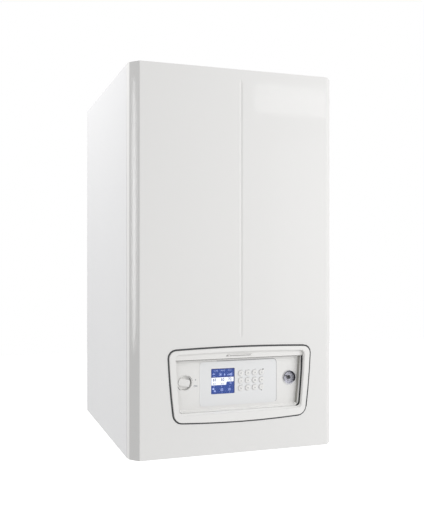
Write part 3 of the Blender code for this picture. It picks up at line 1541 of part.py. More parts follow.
def electrodes():
    """Ignition and flame electrodes, held by one plate."""
    face = CORE_FRONT - 2 * GAP - DOOR_PLATE
    plate = face - COLLAR_THICKNESS
    shell = Shell()
    outline = rounded(
        2 * (ELECTRODE_SPREAD + CERAMIC_COLLAR), 2 * CERAMIC_COLLAR, CERAMIC_COLLAR / 2, steps=4
    )
    shell.stack([(outline, plate, face)], along_y(0.0, CORE_Z + ELECTRODE_RISE))
    pair = shell.build("electrodes", CERAMIC)
    rods = Shell()
    for x, z in electrode_places():
        rods.turned(
            [
                (0.0, face - CERAMIC_AHEAD), (CERAMIC_RADIUS, face - CERAMIC_AHEAD),
                (CERAMIC_RADIUS, face + CERAMIC_BEHIND), (WIRE_RADIUS, face + CERAMIC_BEHIND),
                (WIRE_RADIUS, face + WIRE_BEHIND), (0.0, face + WIRE_BEHIND),
            ],
            10,
            along_y(x, z),
        )
    join(pair, rods)


def fan_plane():
    """The Y at which the elbow stands in front of the door, which is the fan's middle."""
    return CORE_FRONT - 2 * GAP - DOOR_PLATE - ELBOW_BEND


def gas_air_elbow():
    """Bore, outer tube and two flanges, from the fan's mouth to the door's middle."""
    face = CORE_FRONT - 2 * GAP - DOOR_PLATE
    y = fan_plane()
    foot = FAN_TOP + GAP
    half = ELBOW_FLANGE_THICKNESS / 2
    path = bent(
        [Vector((0.0, y, foot + half)), Vector((0.0, y, CORE_Z)), Vector((0.0, face - half, CORE_Z))],
        ELBOW_BEND - 2 * ELBOW_FLANGE_THICKNESS,
    )
    shell = Shell()
    shell.swept(path, ELBOW_RADIUS, 16)
    elbow = shell.build("gas_air_elbow", BLACK_PLASTIC)
    join(elbow, rod(ELBOW_FLANGE, face - ELBOW_FLANGE_THICKNESS, face, 16, along_y(0.0, CORE_Z)))
    join(elbow, block(
        (-OUTLET_HALF, y - FAN_DEPTH / 2, foot),
        (OUTLET_HALF, y + FAN_DEPTH / 2, foot + ELBOW_FLANGE_THICKNESS),
    ))
    bore = Shell()
    bore.swept(lengthened(path), MIX_BORE - GAP, 16)
    cut(elbow, bore)


def scroll(inset):
    """The fan's outline: a spiral that grows into an upright outlet."""
    left = -FAN_X - OUTLET_HALF + inset
    right = -FAN_X + OUTLET_HALF - inset
    loop = []
    steps = 20
    first = math.acos(right / (FAN_RADIUS - inset))
    for i in range(steps + 1):
        share = i / steps
        angle = first - share * (first + math.pi)
        radius = FAN_RADIUS - inset + FAN_GROWTH * share
        loop.append((radius * math.cos(angle), radius * math.sin(angle)))
    loop[-1] = (left, 0.0)
    loop.append((left, FAN_TOP - FAN_Z))
    loop.append((right, FAN_TOP - FAN_Z))
    return loop


def fan_housing():
    y = fan_plane()
    near, far = y - FAN_DEPTH / 2, y + FAN_DEPTH / 2
    place = along_y(FAN_X, FAN_Z)
    shell = Shell()
    shell.stack([(scroll(0.0), near, far)], place)
    housing = shell.build("fan_housing", CASTING)
    hollow = Shell()
    chamber = scroll(FAN_WALL)
    chamber[-2:] = [(u, v + OVERRUN) for u, v in chamber[-2:]]
    hollow.stack([(chamber, near + FAN_WALL, far - FAN_WALL)], place)
    cut(housing, hollow)
    cut(housing, rod(FAN_INLET, far - FAN_WALL - OVERRUN / 2, far + OVERRUN, 20, place))
    cut(housing, rod(SHAFT_BORE, near - OVERRUN, near + FAN_WALL + OVERRUN / 2, 12, place))


def wheel(name, x, z, start, root, tip, count, disc, width, shaft_start, finish):
    """A disc with blades behind it and a shaft in front."""
    shell = Shell()
    shell.stack(
        [
            (circle(SHAFT_RADIUS, 12), shaft_start, start),
            (circle(tip, 24), start, start + disc),
            (blades(root, tip * math.cos(math.pi / 24) - disc / 2, count), start + disc, start + width),
        ],
        along_y(x, z),
    )
    shell.build(name, finish, (x, start, z))


def fan_impeller():
    start = fan_plane() - FAN_DEPTH / 2 + FAN_WALL + WHEEL_CLEARANCE
    shaft_start = fan_plane() - FAN_DEPTH / 2 - GAP - SHAFT_REACH
    wheel(
        "fan_impeller", FAN_X, FAN_Z, start, WHEEL_ROOT, WHEEL_RADIUS, WHEEL_BLADES,
        WHEEL_DISC, WHEEL_WIDTH, shaft_start, GREY_PLASTIC,
    )


def motor(name, x, z, seat, flange, radius, length, finish):
    """A motor in front of seat, with a blind bore for its shaft."""
    shell = Shell()
    shell.turned(
        [
            (flange, seat), (flange, seat - MOTOR_FLANGE_THICKNESS),
            (radius, seat - MOTOR_FLANGE_THICKNESS), (radius, seat - length),
            (radius - MOTOR_SHOULDER, seat - length),
            (radius - MOTOR_SHOULDER, seat - length - MOTOR_CAP_LENGTH),
            (0.0, seat - length - MOTOR_CAP_LENGTH),
            (0.0, seat - SHAFT_REACH - SHAFT_RADIUS), (SHAFT_BORE, seat - SHAFT_REACH - SHAFT_RADIUS),
            (SHAFT_BORE, seat),
        ],
        24,
        along_y(x, z),
    )
    shell.build(name, finish)


def fan_motor():
    motor(
        "fan_motor", FAN_X, FAN_Z, fan_plane() - FAN_DEPTH / 2 - GAP, FAN_MOTOR_FLANGE, FAN_MOTOR_RADIUS,
        FAN_MOTOR_LENGTH, BLACK_PLASTIC,
    )


def valve_bottom():
    return FAN_Z - VALVE_HEIGHT / 2 - GAS_BOSS_DROP


def gas_valve():
    """A block with a throat against the fan's inlet, a coil on top and a boss below."""
    near = fan_plane() + FAN_DEPTH / 2 + GAP
    body = near + VALVE_THROAT_LENGTH
    shell = Shell()
    shell.stack(
        [
            (circle(VALVE_THROAT, 20), near, body),
            (rounded(VALVE_WIDTH, VALVE_HEIGHT, VALVE_RADIUS), body, body + VALVE_LENGTH),
        ],
        along_y(FAN_X, FAN_Z),
        [circle(VALVE_BORE, 16)],
    )
    valve = shell.build("gas_valve", CASTING)
    middle = body + VALVE_LENGTH / 2
    top = FAN_Z + VALVE_HEIGHT / 2
    join(valve, block(
        (FAN_X - COIL_BLOCK / 2, middle - COIL_BLOCK / 2, top - VALVE_RADIUS),
        (FAN_X + COIL_BLOCK / 2, middle + COIL_BLOCK / 2, top + COIL_BLOCK_RISE),
    ))
    join(valve, rod(
        GAS_BOSS, valve_bottom(), FAN_Z - VALVE_HEIGHT / 2 + VALVE_RADIUS, 16, along_z(FAN_X, middle)
    ))


def gas_pipe():
    near = fan_plane() + FAN_DEPTH / 2 + GAP
    middle = near + VALVE_THROAT_LENGTH + VALVE_LENGTH / 2
    end = valve_bottom() - GAP
    step = (end - BASE) / 3
    path = bent(
        [
            Vector((GAS_X, WATER_Y, 0.0)), Vector((GAS_X, WATER_Y, BASE + step)),
            Vector((FAN_X, middle, BASE + 2 * step)), Vector((FAN_X, middle, end)),
        ],
        PIPE_BEND,
    )
    shell = Shell()
    shell.swept(path, GAS_RADIUS, 12, bore=GAS_BORE)
    shell.build("gas_pipe", STEEL)


def flow_pipe():
    side = -WATER_STUB_REACH - GAP
    path = bent(
        [
            Vector((FLOW_X, WATER_Y, 0.0)), Vector((FLOW_X, WATER_Y, CORE_Z)),
            Vector((side, WATER_Y, CORE_Z)),
        ],
        PIPE_BEND,
    )
    shell = Shell()
    shell.swept(path, PIPE_RADIUS, 12)
    pipe = shell.build("flow_pipe", COPPER)
    join(pipe, rod(
        RELIEF_BOSS, WATER_Y - RELIEF_BOSS_REACH, WATER_Y - RELIEF_BOSS / 4, 12,
        rolled(along_y(FLOW_X, RELIEF_Z)),
    ))
    bore = Shell()
    bore.swept(lengthened(path), PIPE_BORE, 12)
    cut(pipe, bore)


def return_pipe():
    side = WATER_STUB_REACH + GAP
    path = bent(
        [
            Vector((PUMP_X, WATER_Y, PUMP_TOP + GAP)), Vector((PUMP_X, WATER_Y, CORE_Z)),
            Vector((side, WATER_Y, CORE_Z)),
        ],
        PIPE_BEND,
    )
    shell = Shell()
    shell.swept(path, PIPE_RADIUS, 12, bore=PIPE_BORE)
    shell.build("return_pipe", COPPER)


def pump_body():
    """A volute with its return connection below and its outlet above."""
    centre = along_y(PUMP_X, PUMP_Z)
    upright = along_z(PUMP_X, WATER_Y)
    body = rod(VOLUTE_RADIUS, VOLUTE_FRONT, VOLUTE_REAR, 24, centre).build("pump_body", CAST_IRON)
    join(body, rod(PIPE_RADIUS, 0.0, PUMP_Z - VOLUTE_RADIUS / 2, 16, upright))
    join(body, rod(PIPE_RADIUS, PUMP_Z + VOLUTE_RADIUS / 2, PUMP_TOP, 16, upright))
    cut(body, rod(ROTOR_CAVITY, VOLUTE_FRONT - OVERRUN, VOLUTE_FRONT + ROTOR_CAVITY_DEPTH, 24, centre))
    cut(body, rod(PIPE_BORE, -OVERRUN, PUMP_TOP + OVERRUN, 16, upright))


def pump_impeller():
    start = VOLUTE_FRONT + ROTOR_CLEARANCE
    shaft_start = VOLUTE_FRONT - GAP - SHAFT_REACH
    wheel(
        "pump_impeller", PUMP_X, PUMP_Z, start, ROTOR_ROOT, ROTOR_RADIUS, ROTOR_BLADES,
        ROTOR_DISC, ROTOR_WIDTH, shaft_start, GREY_PLASTIC,
    )


def pump_motor():
    motor(
        "pump_motor", PUMP_X, PUMP_Z, VOLUTE_FRONT - GAP, VOLUTE_RADIUS, PUMP_MOTOR_RADIUS,
        PUMP_MOTOR_LENGTH, CAST_IRON,
    )


def condensate_trap():
    """A hollow bottle trap: neck round the exchanger's drain, cup, outlet below."""
    neck_top = CORE_Z - DRAIN_REACH + TRAP_OVERLAP
    shell = Shell()
    shell.turned(
        [
            (TRAP_OUTLET, 0.0), (TRAP_OUTLET, TRAP_CUP_LOW - TRAP_SHOULDER),
            (TRAP_CUP, TRAP_CUP_LOW), (TRAP_CUP, TRAP_CUP_HIGH),
            (TRAP_NECK, TRAP_CUP_HIGH + TRAP_SHOULDER), (TRAP_NECK, neck_top),
            (TRAP_NECK_BORE, neck_top), (TRAP_NECK_BORE, TRAP_CUP_HIGH + TRAP_SHOULDER - TRAP_WALL),
            (TRAP_CUP - TRAP_WALL, TRAP_CUP_HIGH - TRAP_WALL),
            (TRAP_CUP - TRAP_WALL, TRAP_CUP_LOW + TRAP_WALL),
            (TRAP_OUTLET_BORE, TRAP_CUP_LOW - TRAP_SHOULDER + TRAP_WALL), (TRAP_OUTLET_BORE, 0.0),
        ],
        16,
        along_z(0.0, DUCT_Y),
    )
    shell.build("condensate_trap", GREY_PLASTIC)


def air_vent():
    foot = CORE_Z + VENT_BOSS_RISE + GAP
    shell = Shell()
    shell.turned(
        [
            (0.0, foot), (VENT_STEM, foot), (VENT_STEM, foot + VENT_STEM_RISE),
            (VENT_BODY, foot + VENT_STEM_RISE), (VENT_BODY, foot + VENT_BODY_RISE),
            (VENT_CAP, foot + VENT_BODY_RISE), (VENT_CAP, foot + VENT_CAP_RISE),
            (0.0, foot + VENT_CAP_RISE),
        ],
        12,
        along_z(0.0, VENT_Y),
    )
    shell.build("air_vent", BRASS)


def safety_valve():
    near = WATER_Y - RELIEF_BOSS_REACH - GAP
    front = near - RELIEF_LENGTH
    body = rod(RELIEF_BODY, front, near, 16, along_y(FLOW_X, RELIEF_Z)).build("safety_valve", BRASS)
    middle = near - RELIEF_LENGTH / 2
    outlet = rod(
        RELIEF_OUTLET, RELIEF_Z - RELIEF_OUTLET_DROP, RELIEF_Z, 12, along_z(FLOW_X, middle)
    )
    join(body, outlet)
    shell = Shell()
    cap_rear = front - GAP
    grips = blades(RELIEF_CAP - RELIEF_CAP_GROOVE, RELIEF_CAP, RELIEF_CAP_GRIPS)
    shell.stack(
        [(grips, cap_rear - RELIEF_CAP_LENGTH, cap_rear)], along_y(FLOW_X, RELIEF_Z)
    )
    shell.build("safety_valve_knob", RED_PLASTIC, (FLOW_X, cap_rear, RELIEF_Z))


# Flue and air


def flue_parts():
    duct_top = TOP - SPIGOT_DROP + DUCT_LAP
    duct_foot = CORE_Z + FLUE_STUB_RISE - DUCT_LAP
    place = along_z(0.0, DUCT_Y)
    duct = Shell()
    duct.turned(
        [(DUCT_INNER, duct_foot), (DUCT_OUTER, duct_foot), (DUCT_OUTER, duct_top), (DUCT_INNER, duct_top)],
        24,
        place,
    )
    duct.build("flue_duct", GREY_PLASTIC)
    seat = TOP + GAP
    rim = TOP + COLLAR_RISE
    seal_low, seal_high = TOP + SEAL_LOW, TOP + SEAL_LOW + SEAL_HEIGHT
    collar = Shell()
    collar.turned(
        [
            (SPIGOT_INNER, TOP - SPIGOT_DROP), (SPIGOT_OUTER, TOP - SPIGOT_DROP), (SPIGOT_OUTER, seat),
            (COLLAR_FLANGE, seat), (COLLAR_FLANGE, seat + COLLAR_FLANGE_THICKNESS),
            (FLUE_OUTER, seat + COLLAR_FLANGE_THICKNESS), (FLUE_OUTER, rim), (FLUE_BORE, rim),
            (FLUE_BORE, seal_high), (SEAL_GROOVE, seal_high), (SEAL_GROOVE, seal_low),
            (FLUE_BORE, seal_low), (FLUE_BORE, seat + COLLAR_FLANGE_THICKNESS), (SPIGOT_INNER, seat),
        ],
        24,
        place,
    )
    collar.build("flue_collar", BLACK_PLASTIC)
    seal = Shell()
    seal.turned(
        [
            (SEAL_INNER, seal_low + GAP), (SEAL_GROOVE - GAP, seal_low + GAP),
            (SEAL_GROOVE - GAP, seal_high - GAP), (SEAL_INNER, seal_high - GAP),
        ],
        24,
        place,
    )
    seal.build("flue_seal", DARK_RUBBER)


def air_intake_collar():
    seat = TOP + GAP
    rim = TOP + COLLAR_RISE
    shell = Shell()
    shell.turned(
        [
            (AIR_BORE, TOP - AIR_DROP), (AIR_OUTER, TOP - AIR_DROP), (AIR_OUTER, seat),
            (AIR_FLANGE, seat), (AIR_FLANGE, seat + COLLAR_FLANGE_THICKNESS),
            (AIR_OUTER, seat + COLLAR_FLANGE_THICKNESS), (AIR_OUTER, rim), (AIR_BORE, rim),
        ],
        24,
        along_z(AIR_X, DUCT_Y),
    )
    shell.build("air_intake_collar", BLACK_PLASTIC)


def clear_scene():
    for item in list(bpy.data.objects):
        bpy.data.objects.remove(item, do_unlink=True)


def casing():
    front_cover()
    side_panel("left_side_panel", -1)
    side_panel("right_side_panel", 1)
    top_panel()
    bottom_panel()
    back_frame()
    wall_bracket()
    box_screw("box_screw_left", -1)
    box_screw("box_screw_right", 1)


def control_panel():
    panel_gasket()
    panel_bezel()
    door()
    fascia()
    controller_housing()
    display()
    circuit_board()
    keys()
    switch_body()
    switch_knob()
    gauge()
    electronics_box()


def works():
    heat_exchanger()
    exchanger_coil()
    exchanger_door()
    clamp_ring()
    burner()
    electrodes()
    gas_air_elbow()
    fan_housing()
    fan_impeller()
    fan_motor()
    gas_valve()
    gas_pipe()
    flow_pipe()
    return_pipe()
    pump_body()
    pump_impeller()
    pump_motor()
    condensate_trap()
    air_vent()
    safety_valve()
    flue_parts()
    air_intake_collar()


clear_scene()
casing()
control_panel()
works()
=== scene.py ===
"""Finishes, printed detail, small fittings and stage for the wall-hung boiler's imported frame."""

import json
import math

import bmesh
import bpy
from bpy.props import FloatProperty, FloatVectorProperty, IntProperty, PointerProperty
from mathutils import Matrix, Vector


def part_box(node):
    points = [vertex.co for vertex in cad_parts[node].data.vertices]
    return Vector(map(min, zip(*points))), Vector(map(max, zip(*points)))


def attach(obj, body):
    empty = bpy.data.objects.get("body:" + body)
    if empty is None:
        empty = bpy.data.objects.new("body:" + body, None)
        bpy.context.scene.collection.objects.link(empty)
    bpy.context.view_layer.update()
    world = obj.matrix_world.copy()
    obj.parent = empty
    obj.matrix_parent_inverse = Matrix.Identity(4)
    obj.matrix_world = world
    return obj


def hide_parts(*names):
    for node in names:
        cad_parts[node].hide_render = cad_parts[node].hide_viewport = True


bl_info = {
    "name": "Wall-hung boiler",
    "version": (1, 0, 0),
    "blender": (4, 5, 0),
    "location": "3D View > Sidebar > Boiler",
    "description": "Dresses the boiler's frame in its finishes and small detail",
    "category": "Object",
}

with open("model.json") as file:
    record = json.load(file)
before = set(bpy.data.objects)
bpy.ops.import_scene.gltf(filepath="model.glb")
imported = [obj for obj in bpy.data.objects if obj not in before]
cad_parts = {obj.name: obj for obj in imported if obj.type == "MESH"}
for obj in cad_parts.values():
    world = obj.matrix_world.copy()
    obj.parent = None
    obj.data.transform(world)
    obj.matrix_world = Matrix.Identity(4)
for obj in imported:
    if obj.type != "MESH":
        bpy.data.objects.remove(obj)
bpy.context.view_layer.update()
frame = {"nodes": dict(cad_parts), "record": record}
nodes = frame["nodes"]
bodies = frame["record"]["behaviour"]["bodies"]

KEY_NAMES = [f"key_{number:02d}" for number in range(1, 13)]
MERGE = 0.00001
FLAT_ANGLE = math.radians(0.4)
FONT_SCALE = 1.38
DIAL_SUNK = 0.0075
WHITE = (1.0, 1.0, 1.0, 1.0)


def low(node):
    return Vector(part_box(node)[0])


def high(node):
    return Vector(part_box(node)[1])


def ends_of(node):
    return low(node), high(node)


def middle(node):
    return (low(node) + high(node)) / 2


# Sizes and colours that a user would change


def tint(name, description, default):
    return FloatVectorProperty(
        name=name, description=description, subtype="COLOR", size=3, min=0.0, max=1.0, default=default
    )


def number(name, description, default, **limits):
    return FloatProperty(name=name, description=description, default=default, **limits)


def extent(name, description, default):
    return number(name, description, default, unit="LENGTH", min=0.0)


class BoilerColours(bpy.types.PropertyGroup):
    """Colours of the paints, plastics, metals and prints."""

    casing: tint("Casing", "Powder coat of the casing", (0.80, 0.795, 0.785))
    plastic: tint("Plastic", "Bezel, door, fascia, switch and keys", (0.82, 0.814, 0.80))
    module: tint("Module", "Plate of the controller", (0.80, 0.805, 0.81))
    rubber: tint("Rubber", "Gasket round the control panel", (0.045, 0.047, 0.050))
    screen: tint("Screen", "Lit ground of the screen", (0.026, 0.062, 0.27))
    screen_ink: tint("Screen ink", "Lit letters and symbols", (0.82, 0.85, 0.93))
    print_grey: tint("Grey print", "Signs on keys and fascia", (0.30, 0.31, 0.33))
    print_black: tint("Black print", "Scale on the gauge", (0.02, 0.02, 0.025))
    dial: tint("Dial", "Face of the gauge", (0.62, 0.62, 0.70))
    zinc: tint("Zinc", "Galvanised sheet", (0.52, 0.54, 0.56))
    steel: tint("Steel", "Stainless steel", (0.60, 0.59, 0.57))
    casting: tint("Casting", "Cast aluminium", (0.50, 0.50, 0.50))
    brass: tint("Brass", "Machined brass", (0.66, 0.48, 0.22))
    copper: tint("Copper", "Tube with some tarnish", (0.68, 0.33, 0.20))
    iron: tint("Iron", "Paint on the pump", (0.035, 0.05, 0.06))
    black: tint("Black plastic", "Ducts and motors", (0.022, 0.023, 0.025))
    grey: tint("Grey plastic", "Trap, flue duct and wheels", (0.24, 0.25, 0.26))
    red: tint("Red plastic", "Knob of the safety valve", (0.50, 0.025, 0.02))


class BoilerSizes(bpy.types.PropertyGroup):
    """Sizes of the rounded edges, prints and small fittings."""

    fold: extent("Fold", "Radius of the casing's bent edges", 0.0028)
    moulding: extent("Moulding edge", "Radius of the plastic parts' edges", 0.0007)
    sheet_edge: extent("Sheet edge", "Radius of a cut sheet's edge", 0.0004)
    ink: extent("Ink", "Thickness of a print", 0.00005)
    screw: extent("Screw", "Radius of a casing screw's head", 0.0045)
    tick: extent("Tick", "Length of a long mark on the gauge", 0.0026)
    rib: extent("Rib", "Thickness of a cooling rib", 0.0018)
    ribs: IntProperty(name="Ribs", description="Cooling ribs round a motor", min=3, default=30)
    nut: extent("Nut", "How far a nut stands out round its pipe", 0.0055)


class BoilerStage(bpy.types.PropertyGroup):
    """Camera and lamps."""

    turn: number("Turn", "Heading of the camera from straight ahead", math.radians(-16.25), unit="ROTATION")
    lens: number("Lens", "Focal length in millimetres", 44.86)
    shift_x: number("Shift across", "Sideways shift of the picture", 0.1213)
    shift_y: number("Shift up", "Upward shift of the picture", 0.0098)
    camera_x: extent("Camera across", "How far the camera stands to the left", 0.710)
    camera_ahead: extent("Camera ahead", "How far it stands before the cover", 1.5895)
    camera_height: extent("Camera height", "Height above the cover's lower edge", 0.520)
    sky: number("Sky", "Strength of the even light", 0.665, min=0.0)
    key: number("Key", "Watts of the lamp on the right", 14.0, min=0.0)
    softbox: number("Softbox", "Watts of the lamp that shows faintly on the cover", 7.0, min=0.0)
    side: number("Side", "Watts of the lamp on the left", 17.5, min=0.0)
    strip: number("Strip", "Watts of the slim lamp that shows in the left fold", 0.68, min=0.0)


# Shader groups


def new_group(name, inputs, outputs, kind="ShaderNodeTree"):
    """An empty node group with its ends; each socket has a default, or else the name of its kind."""
    group = bpy.data.node_groups.new(name, kind)
    kinds = {float: "Float", int: "Int", tuple: "Vector"}
    for direction, sockets in (("INPUT", inputs), ("OUTPUT", outputs)):
        for title, default in sockets.items():
            socket = kinds.get(type(default), default)
            item = group.interface.new_socket(title, in_out=direction, socket_type=f"NodeSocket{socket}")
            if socket != default:
                item.default_value = default
    return group, group.nodes.new("NodeGroupInput").outputs, group.nodes.new("NodeGroupOutput").inputs


def feed(tree, socket, value):
    """Links a socket from another one or from a node's first output, or sets it to a plain value."""
    if isinstance(value, bpy.types.Node):
        value = value.outputs[0]
    if isinstance(value, bpy.types.NodeSocket):
        tree.links.new(value, socket)
    else:
        socket.default_value = value


def add(tree, kind, settings=None, **inputs):
    """A node with its settings and its inputs, each a value or a socket to link from."""
    node = tree.nodes.new(kind)
    for key, value in (settings or {}).items():
        setattr(node, key, value)
    for key, value in inputs.items():
        name = key.replace("_", " ")
        feed(tree, next(s for s in node.inputs if s.name == name and s.enabled), value)
    return node


def maths(tree, operation, *values, kind="ShaderNodeMath"):
    node = add(tree, kind, {"operation": operation})
    for socket, value in zip(node.inputs, values):
        feed(tree, socket, value)
    return node.outputs[0]


def vector_maths(tree, operation, *values):
    return maths(tree, operation, *values, kind="ShaderNodeVectorMath")


def mixed(tree, share, first, second):
    node = add(tree, "ShaderNodeMix", {"data_type": "RGBA"})
    for index, value in ((0, share), (6, first), (7, second)):
        feed(tree, node.inputs[index], value)
    return node.outputs[2]


def seen_plainly(tree):
    """1 for the camera's rays and for those that gloss or glass turns aside, else 0."""
    rays = tree.nodes.new("ShaderNodeLightPath").outputs
    seen = rays["Is Camera Ray"]
    for other in ("Is Glossy Ray", "Is Transmission Ray"):
        seen = maths(tree, "MAXIMUM", seen, rays[other])
    return seen


def noise(tree, vector, scale, detail):
    return add(tree, "ShaderNodeTexNoise", Vector=vector, Scale=scale, Detail=detail)


def shade_group():
    """Slow changes of colour and roughness over a surface."""
    group, given, result = new_group("Shade", {
        "Vector": "Vector", "Colour": "Color", "Second colour": "Color", "Scale": 6.0, "Amount": 0.2,
        "Roughness": 0.4, "Roughness spread": 0.05,
    }, {"Colour": "Color", "Roughness": "Float"})
    share = maths(group, "MULTIPLY", noise(group, given["Vector"], given["Scale"], 5.0), given["Amount"])
    feed(group, result["Colour"], mixed(group, share, given["Colour"], given["Second colour"]))
    smear = noise(group, given["Vector"], maths(group, "MULTIPLY", given["Scale"], 7.3), 3.0)
    spread = maths(group, "MULTIPLY", maths(group, "SUBTRACT", smear, 0.5), given["Roughness spread"])
    feed(group, result["Roughness"], maths(group, "ADD", given["Roughness"], spread))


def relief_group():
    """A fine grain that can be stretched along one axis, as a bump."""
    inputs = {"Vector": "Vector", "Stretch": (1.0, 1.0, 1.0), "Scale": 900.0, "Depth": 0.1}
    group, given, result = new_group("Relief", inputs, {"Normal": "Vector"})
    grain = noise(group, vector_maths(group, "MULTIPLY", given["Vector"], given["Stretch"]), given["Scale"], 2.0)
    bump = add(group, "ShaderNodeBump", Strength=given["Depth"], Distance=0.0004, Height=grain)
    feed(group, result["Normal"], bump)


def spangle_group():
    """The crystal pattern of galvanised sheet, as a shade from 0 to 1."""
    inputs = {"Vector": "Vector", "Scale": 90.0}
    group, given, result = new_group("Spangle", inputs, {"Shade": "Float"})
    bent = noise(group, given["Vector"], 40.0, 2.0).outputs["Color"]
    moved = vector_maths(group, "MULTIPLY_ADD", bent, (0.006, 0.006, 0.006), given["Vector"])
    cells = add(group, "ShaderNodeTexVoronoi", Vector=moved, Scale=given["Scale"])
    feed(group, result["Shade"], add(group, "ShaderNodeSeparateColor", Color=cells.outputs["Color"]))


def grid_group():
    """The dark lines between a screen's cells, as a mask."""
    inputs = {"Vector": "Vector", "Pitch": 0.0006}
    group, given, result = new_group("Cell grid", inputs, {"Mask": "Float"})
    place = add(group, "ShaderNodeSeparateXYZ", Vector=given["Vector"]).outputs
    cells = [maths(group, "FRACT", maths(group, "DIVIDE", place[axis], given["Pitch"])) for axis in "XZ"]
    lines = [maths(group, "GREATER_THAN", cell, 0.9) for cell in cells]
    feed(group, result["Mask"], maths(group, "MAXIMUM", *lines))


def coloured(colour, factor=1.0):
    return tuple(min(1.0, value * factor) for value in colour) + (1.0,)


def shared(tree, name, **inputs):
    """A shared group with this material's own values, on the object's coordinates."""
    place = tree.nodes.new("ShaderNodeTexCoord").outputs["Object"]
    return add(tree, "ShaderNodeGroup", {"node_tree": bpy.data.node_groups[name]}, Vector=place, **inputs)


def wired(material, inputs):
    """The material with values or sockets on its shader's inputs."""
    tree = material.node_tree
    for title, value in inputs.items():
        feed(tree, tree.nodes["Principled BSDF"].inputs[title], value)
    return material


def new_material(name):
    material = bpy.data.materials.new(name)
    material.use_nodes = True
    return material, material.node_tree


def finish(name, colour, roughness, metallic=0.0, second=0.9, scale=6.0, amount=0.3, spread=0.06,
           grain=900.0, depth=0.06, stretch=(1.0, 1.0, 1.0), coat=0.0, coat_roughness=0.1, specular=0.5):
    """A Principled material whose shade and relief come from the shared groups."""
    material, tree = new_material(name)
    shade = shared(tree, "Shade", Colour=coloured(colour), Second_colour=coloured(colour, second), Scale=scale,
                   Amount=amount, Roughness=roughness, Roughness_spread=spread)
    relief = shared(tree, "Relief", Stretch=stretch, Scale=grain, Depth=depth)
    return wired(material, {
        "Base Color": shade, "Roughness": shade.outputs["Roughness"], "Normal": relief, "Metallic": metallic,
        "Coat Weight": coat, "Coat Roughness": coat_roughness, "Specular IOR Level": specular,
    })


def powder_coat(name, colour, **changes):
    usual = dict(second=0.965, scale=2.2, amount=0.35, grain=520.0, depth=0.045, coat=0.05, coat_roughness=0.06,
                 specular=0.15)
    return finish(name, colour, 0.5, **{**usual, **changes})


def screen_finish(colour, strength):
    """A lit screen with the dark grid of its cells."""
    material = finish("Lit screen", colour, 0.25, amount=0.1, depth=0.0, specular=0.15)
    tree = material.node_tree
    lit = mixed(tree, shared(tree, "Cell grid"), coloured(colour), coloured(colour, 0.72))
    return wired(material, {"Emission Color": lit, "Emission Strength": strength})


def ink_finish(name, colour, glow=0.0, specular=0.5):
    material = finish(name, colour, 0.45, amount=0.25, second=1.15, scale=300.0, grain=2500.0, depth=0.03,
                      specular=specular)
    return wired(material, {"Emission Color": coloured(colour), "Emission Strength": glow})


def clear_finish(name, alpha, roughness):
    """Clear plastic that lets what is behind it show, with a gloss of its own."""
    material = finish(name, (0.85, 0.87, 0.88), roughness, amount=0.05, spread=0.02, scale=60.0, depth=0.0)
    return wired(material, {"Alpha": alpha})


def galvanised(material):
    """Lays the crystal pattern of galvanised sheet over the material's colour."""
    tree = material.node_tree
    plain = tree.nodes["Principled BSDF"].inputs["Base Color"].links[0].from_socket
    share = maths(tree, "MULTIPLY", shared(tree, "Spangle", Scale=85.0), 0.45)
    wired(material, {"Base Color": mixed(tree, share, plain, (0.30, 0.32, 0.34, 1.0))})


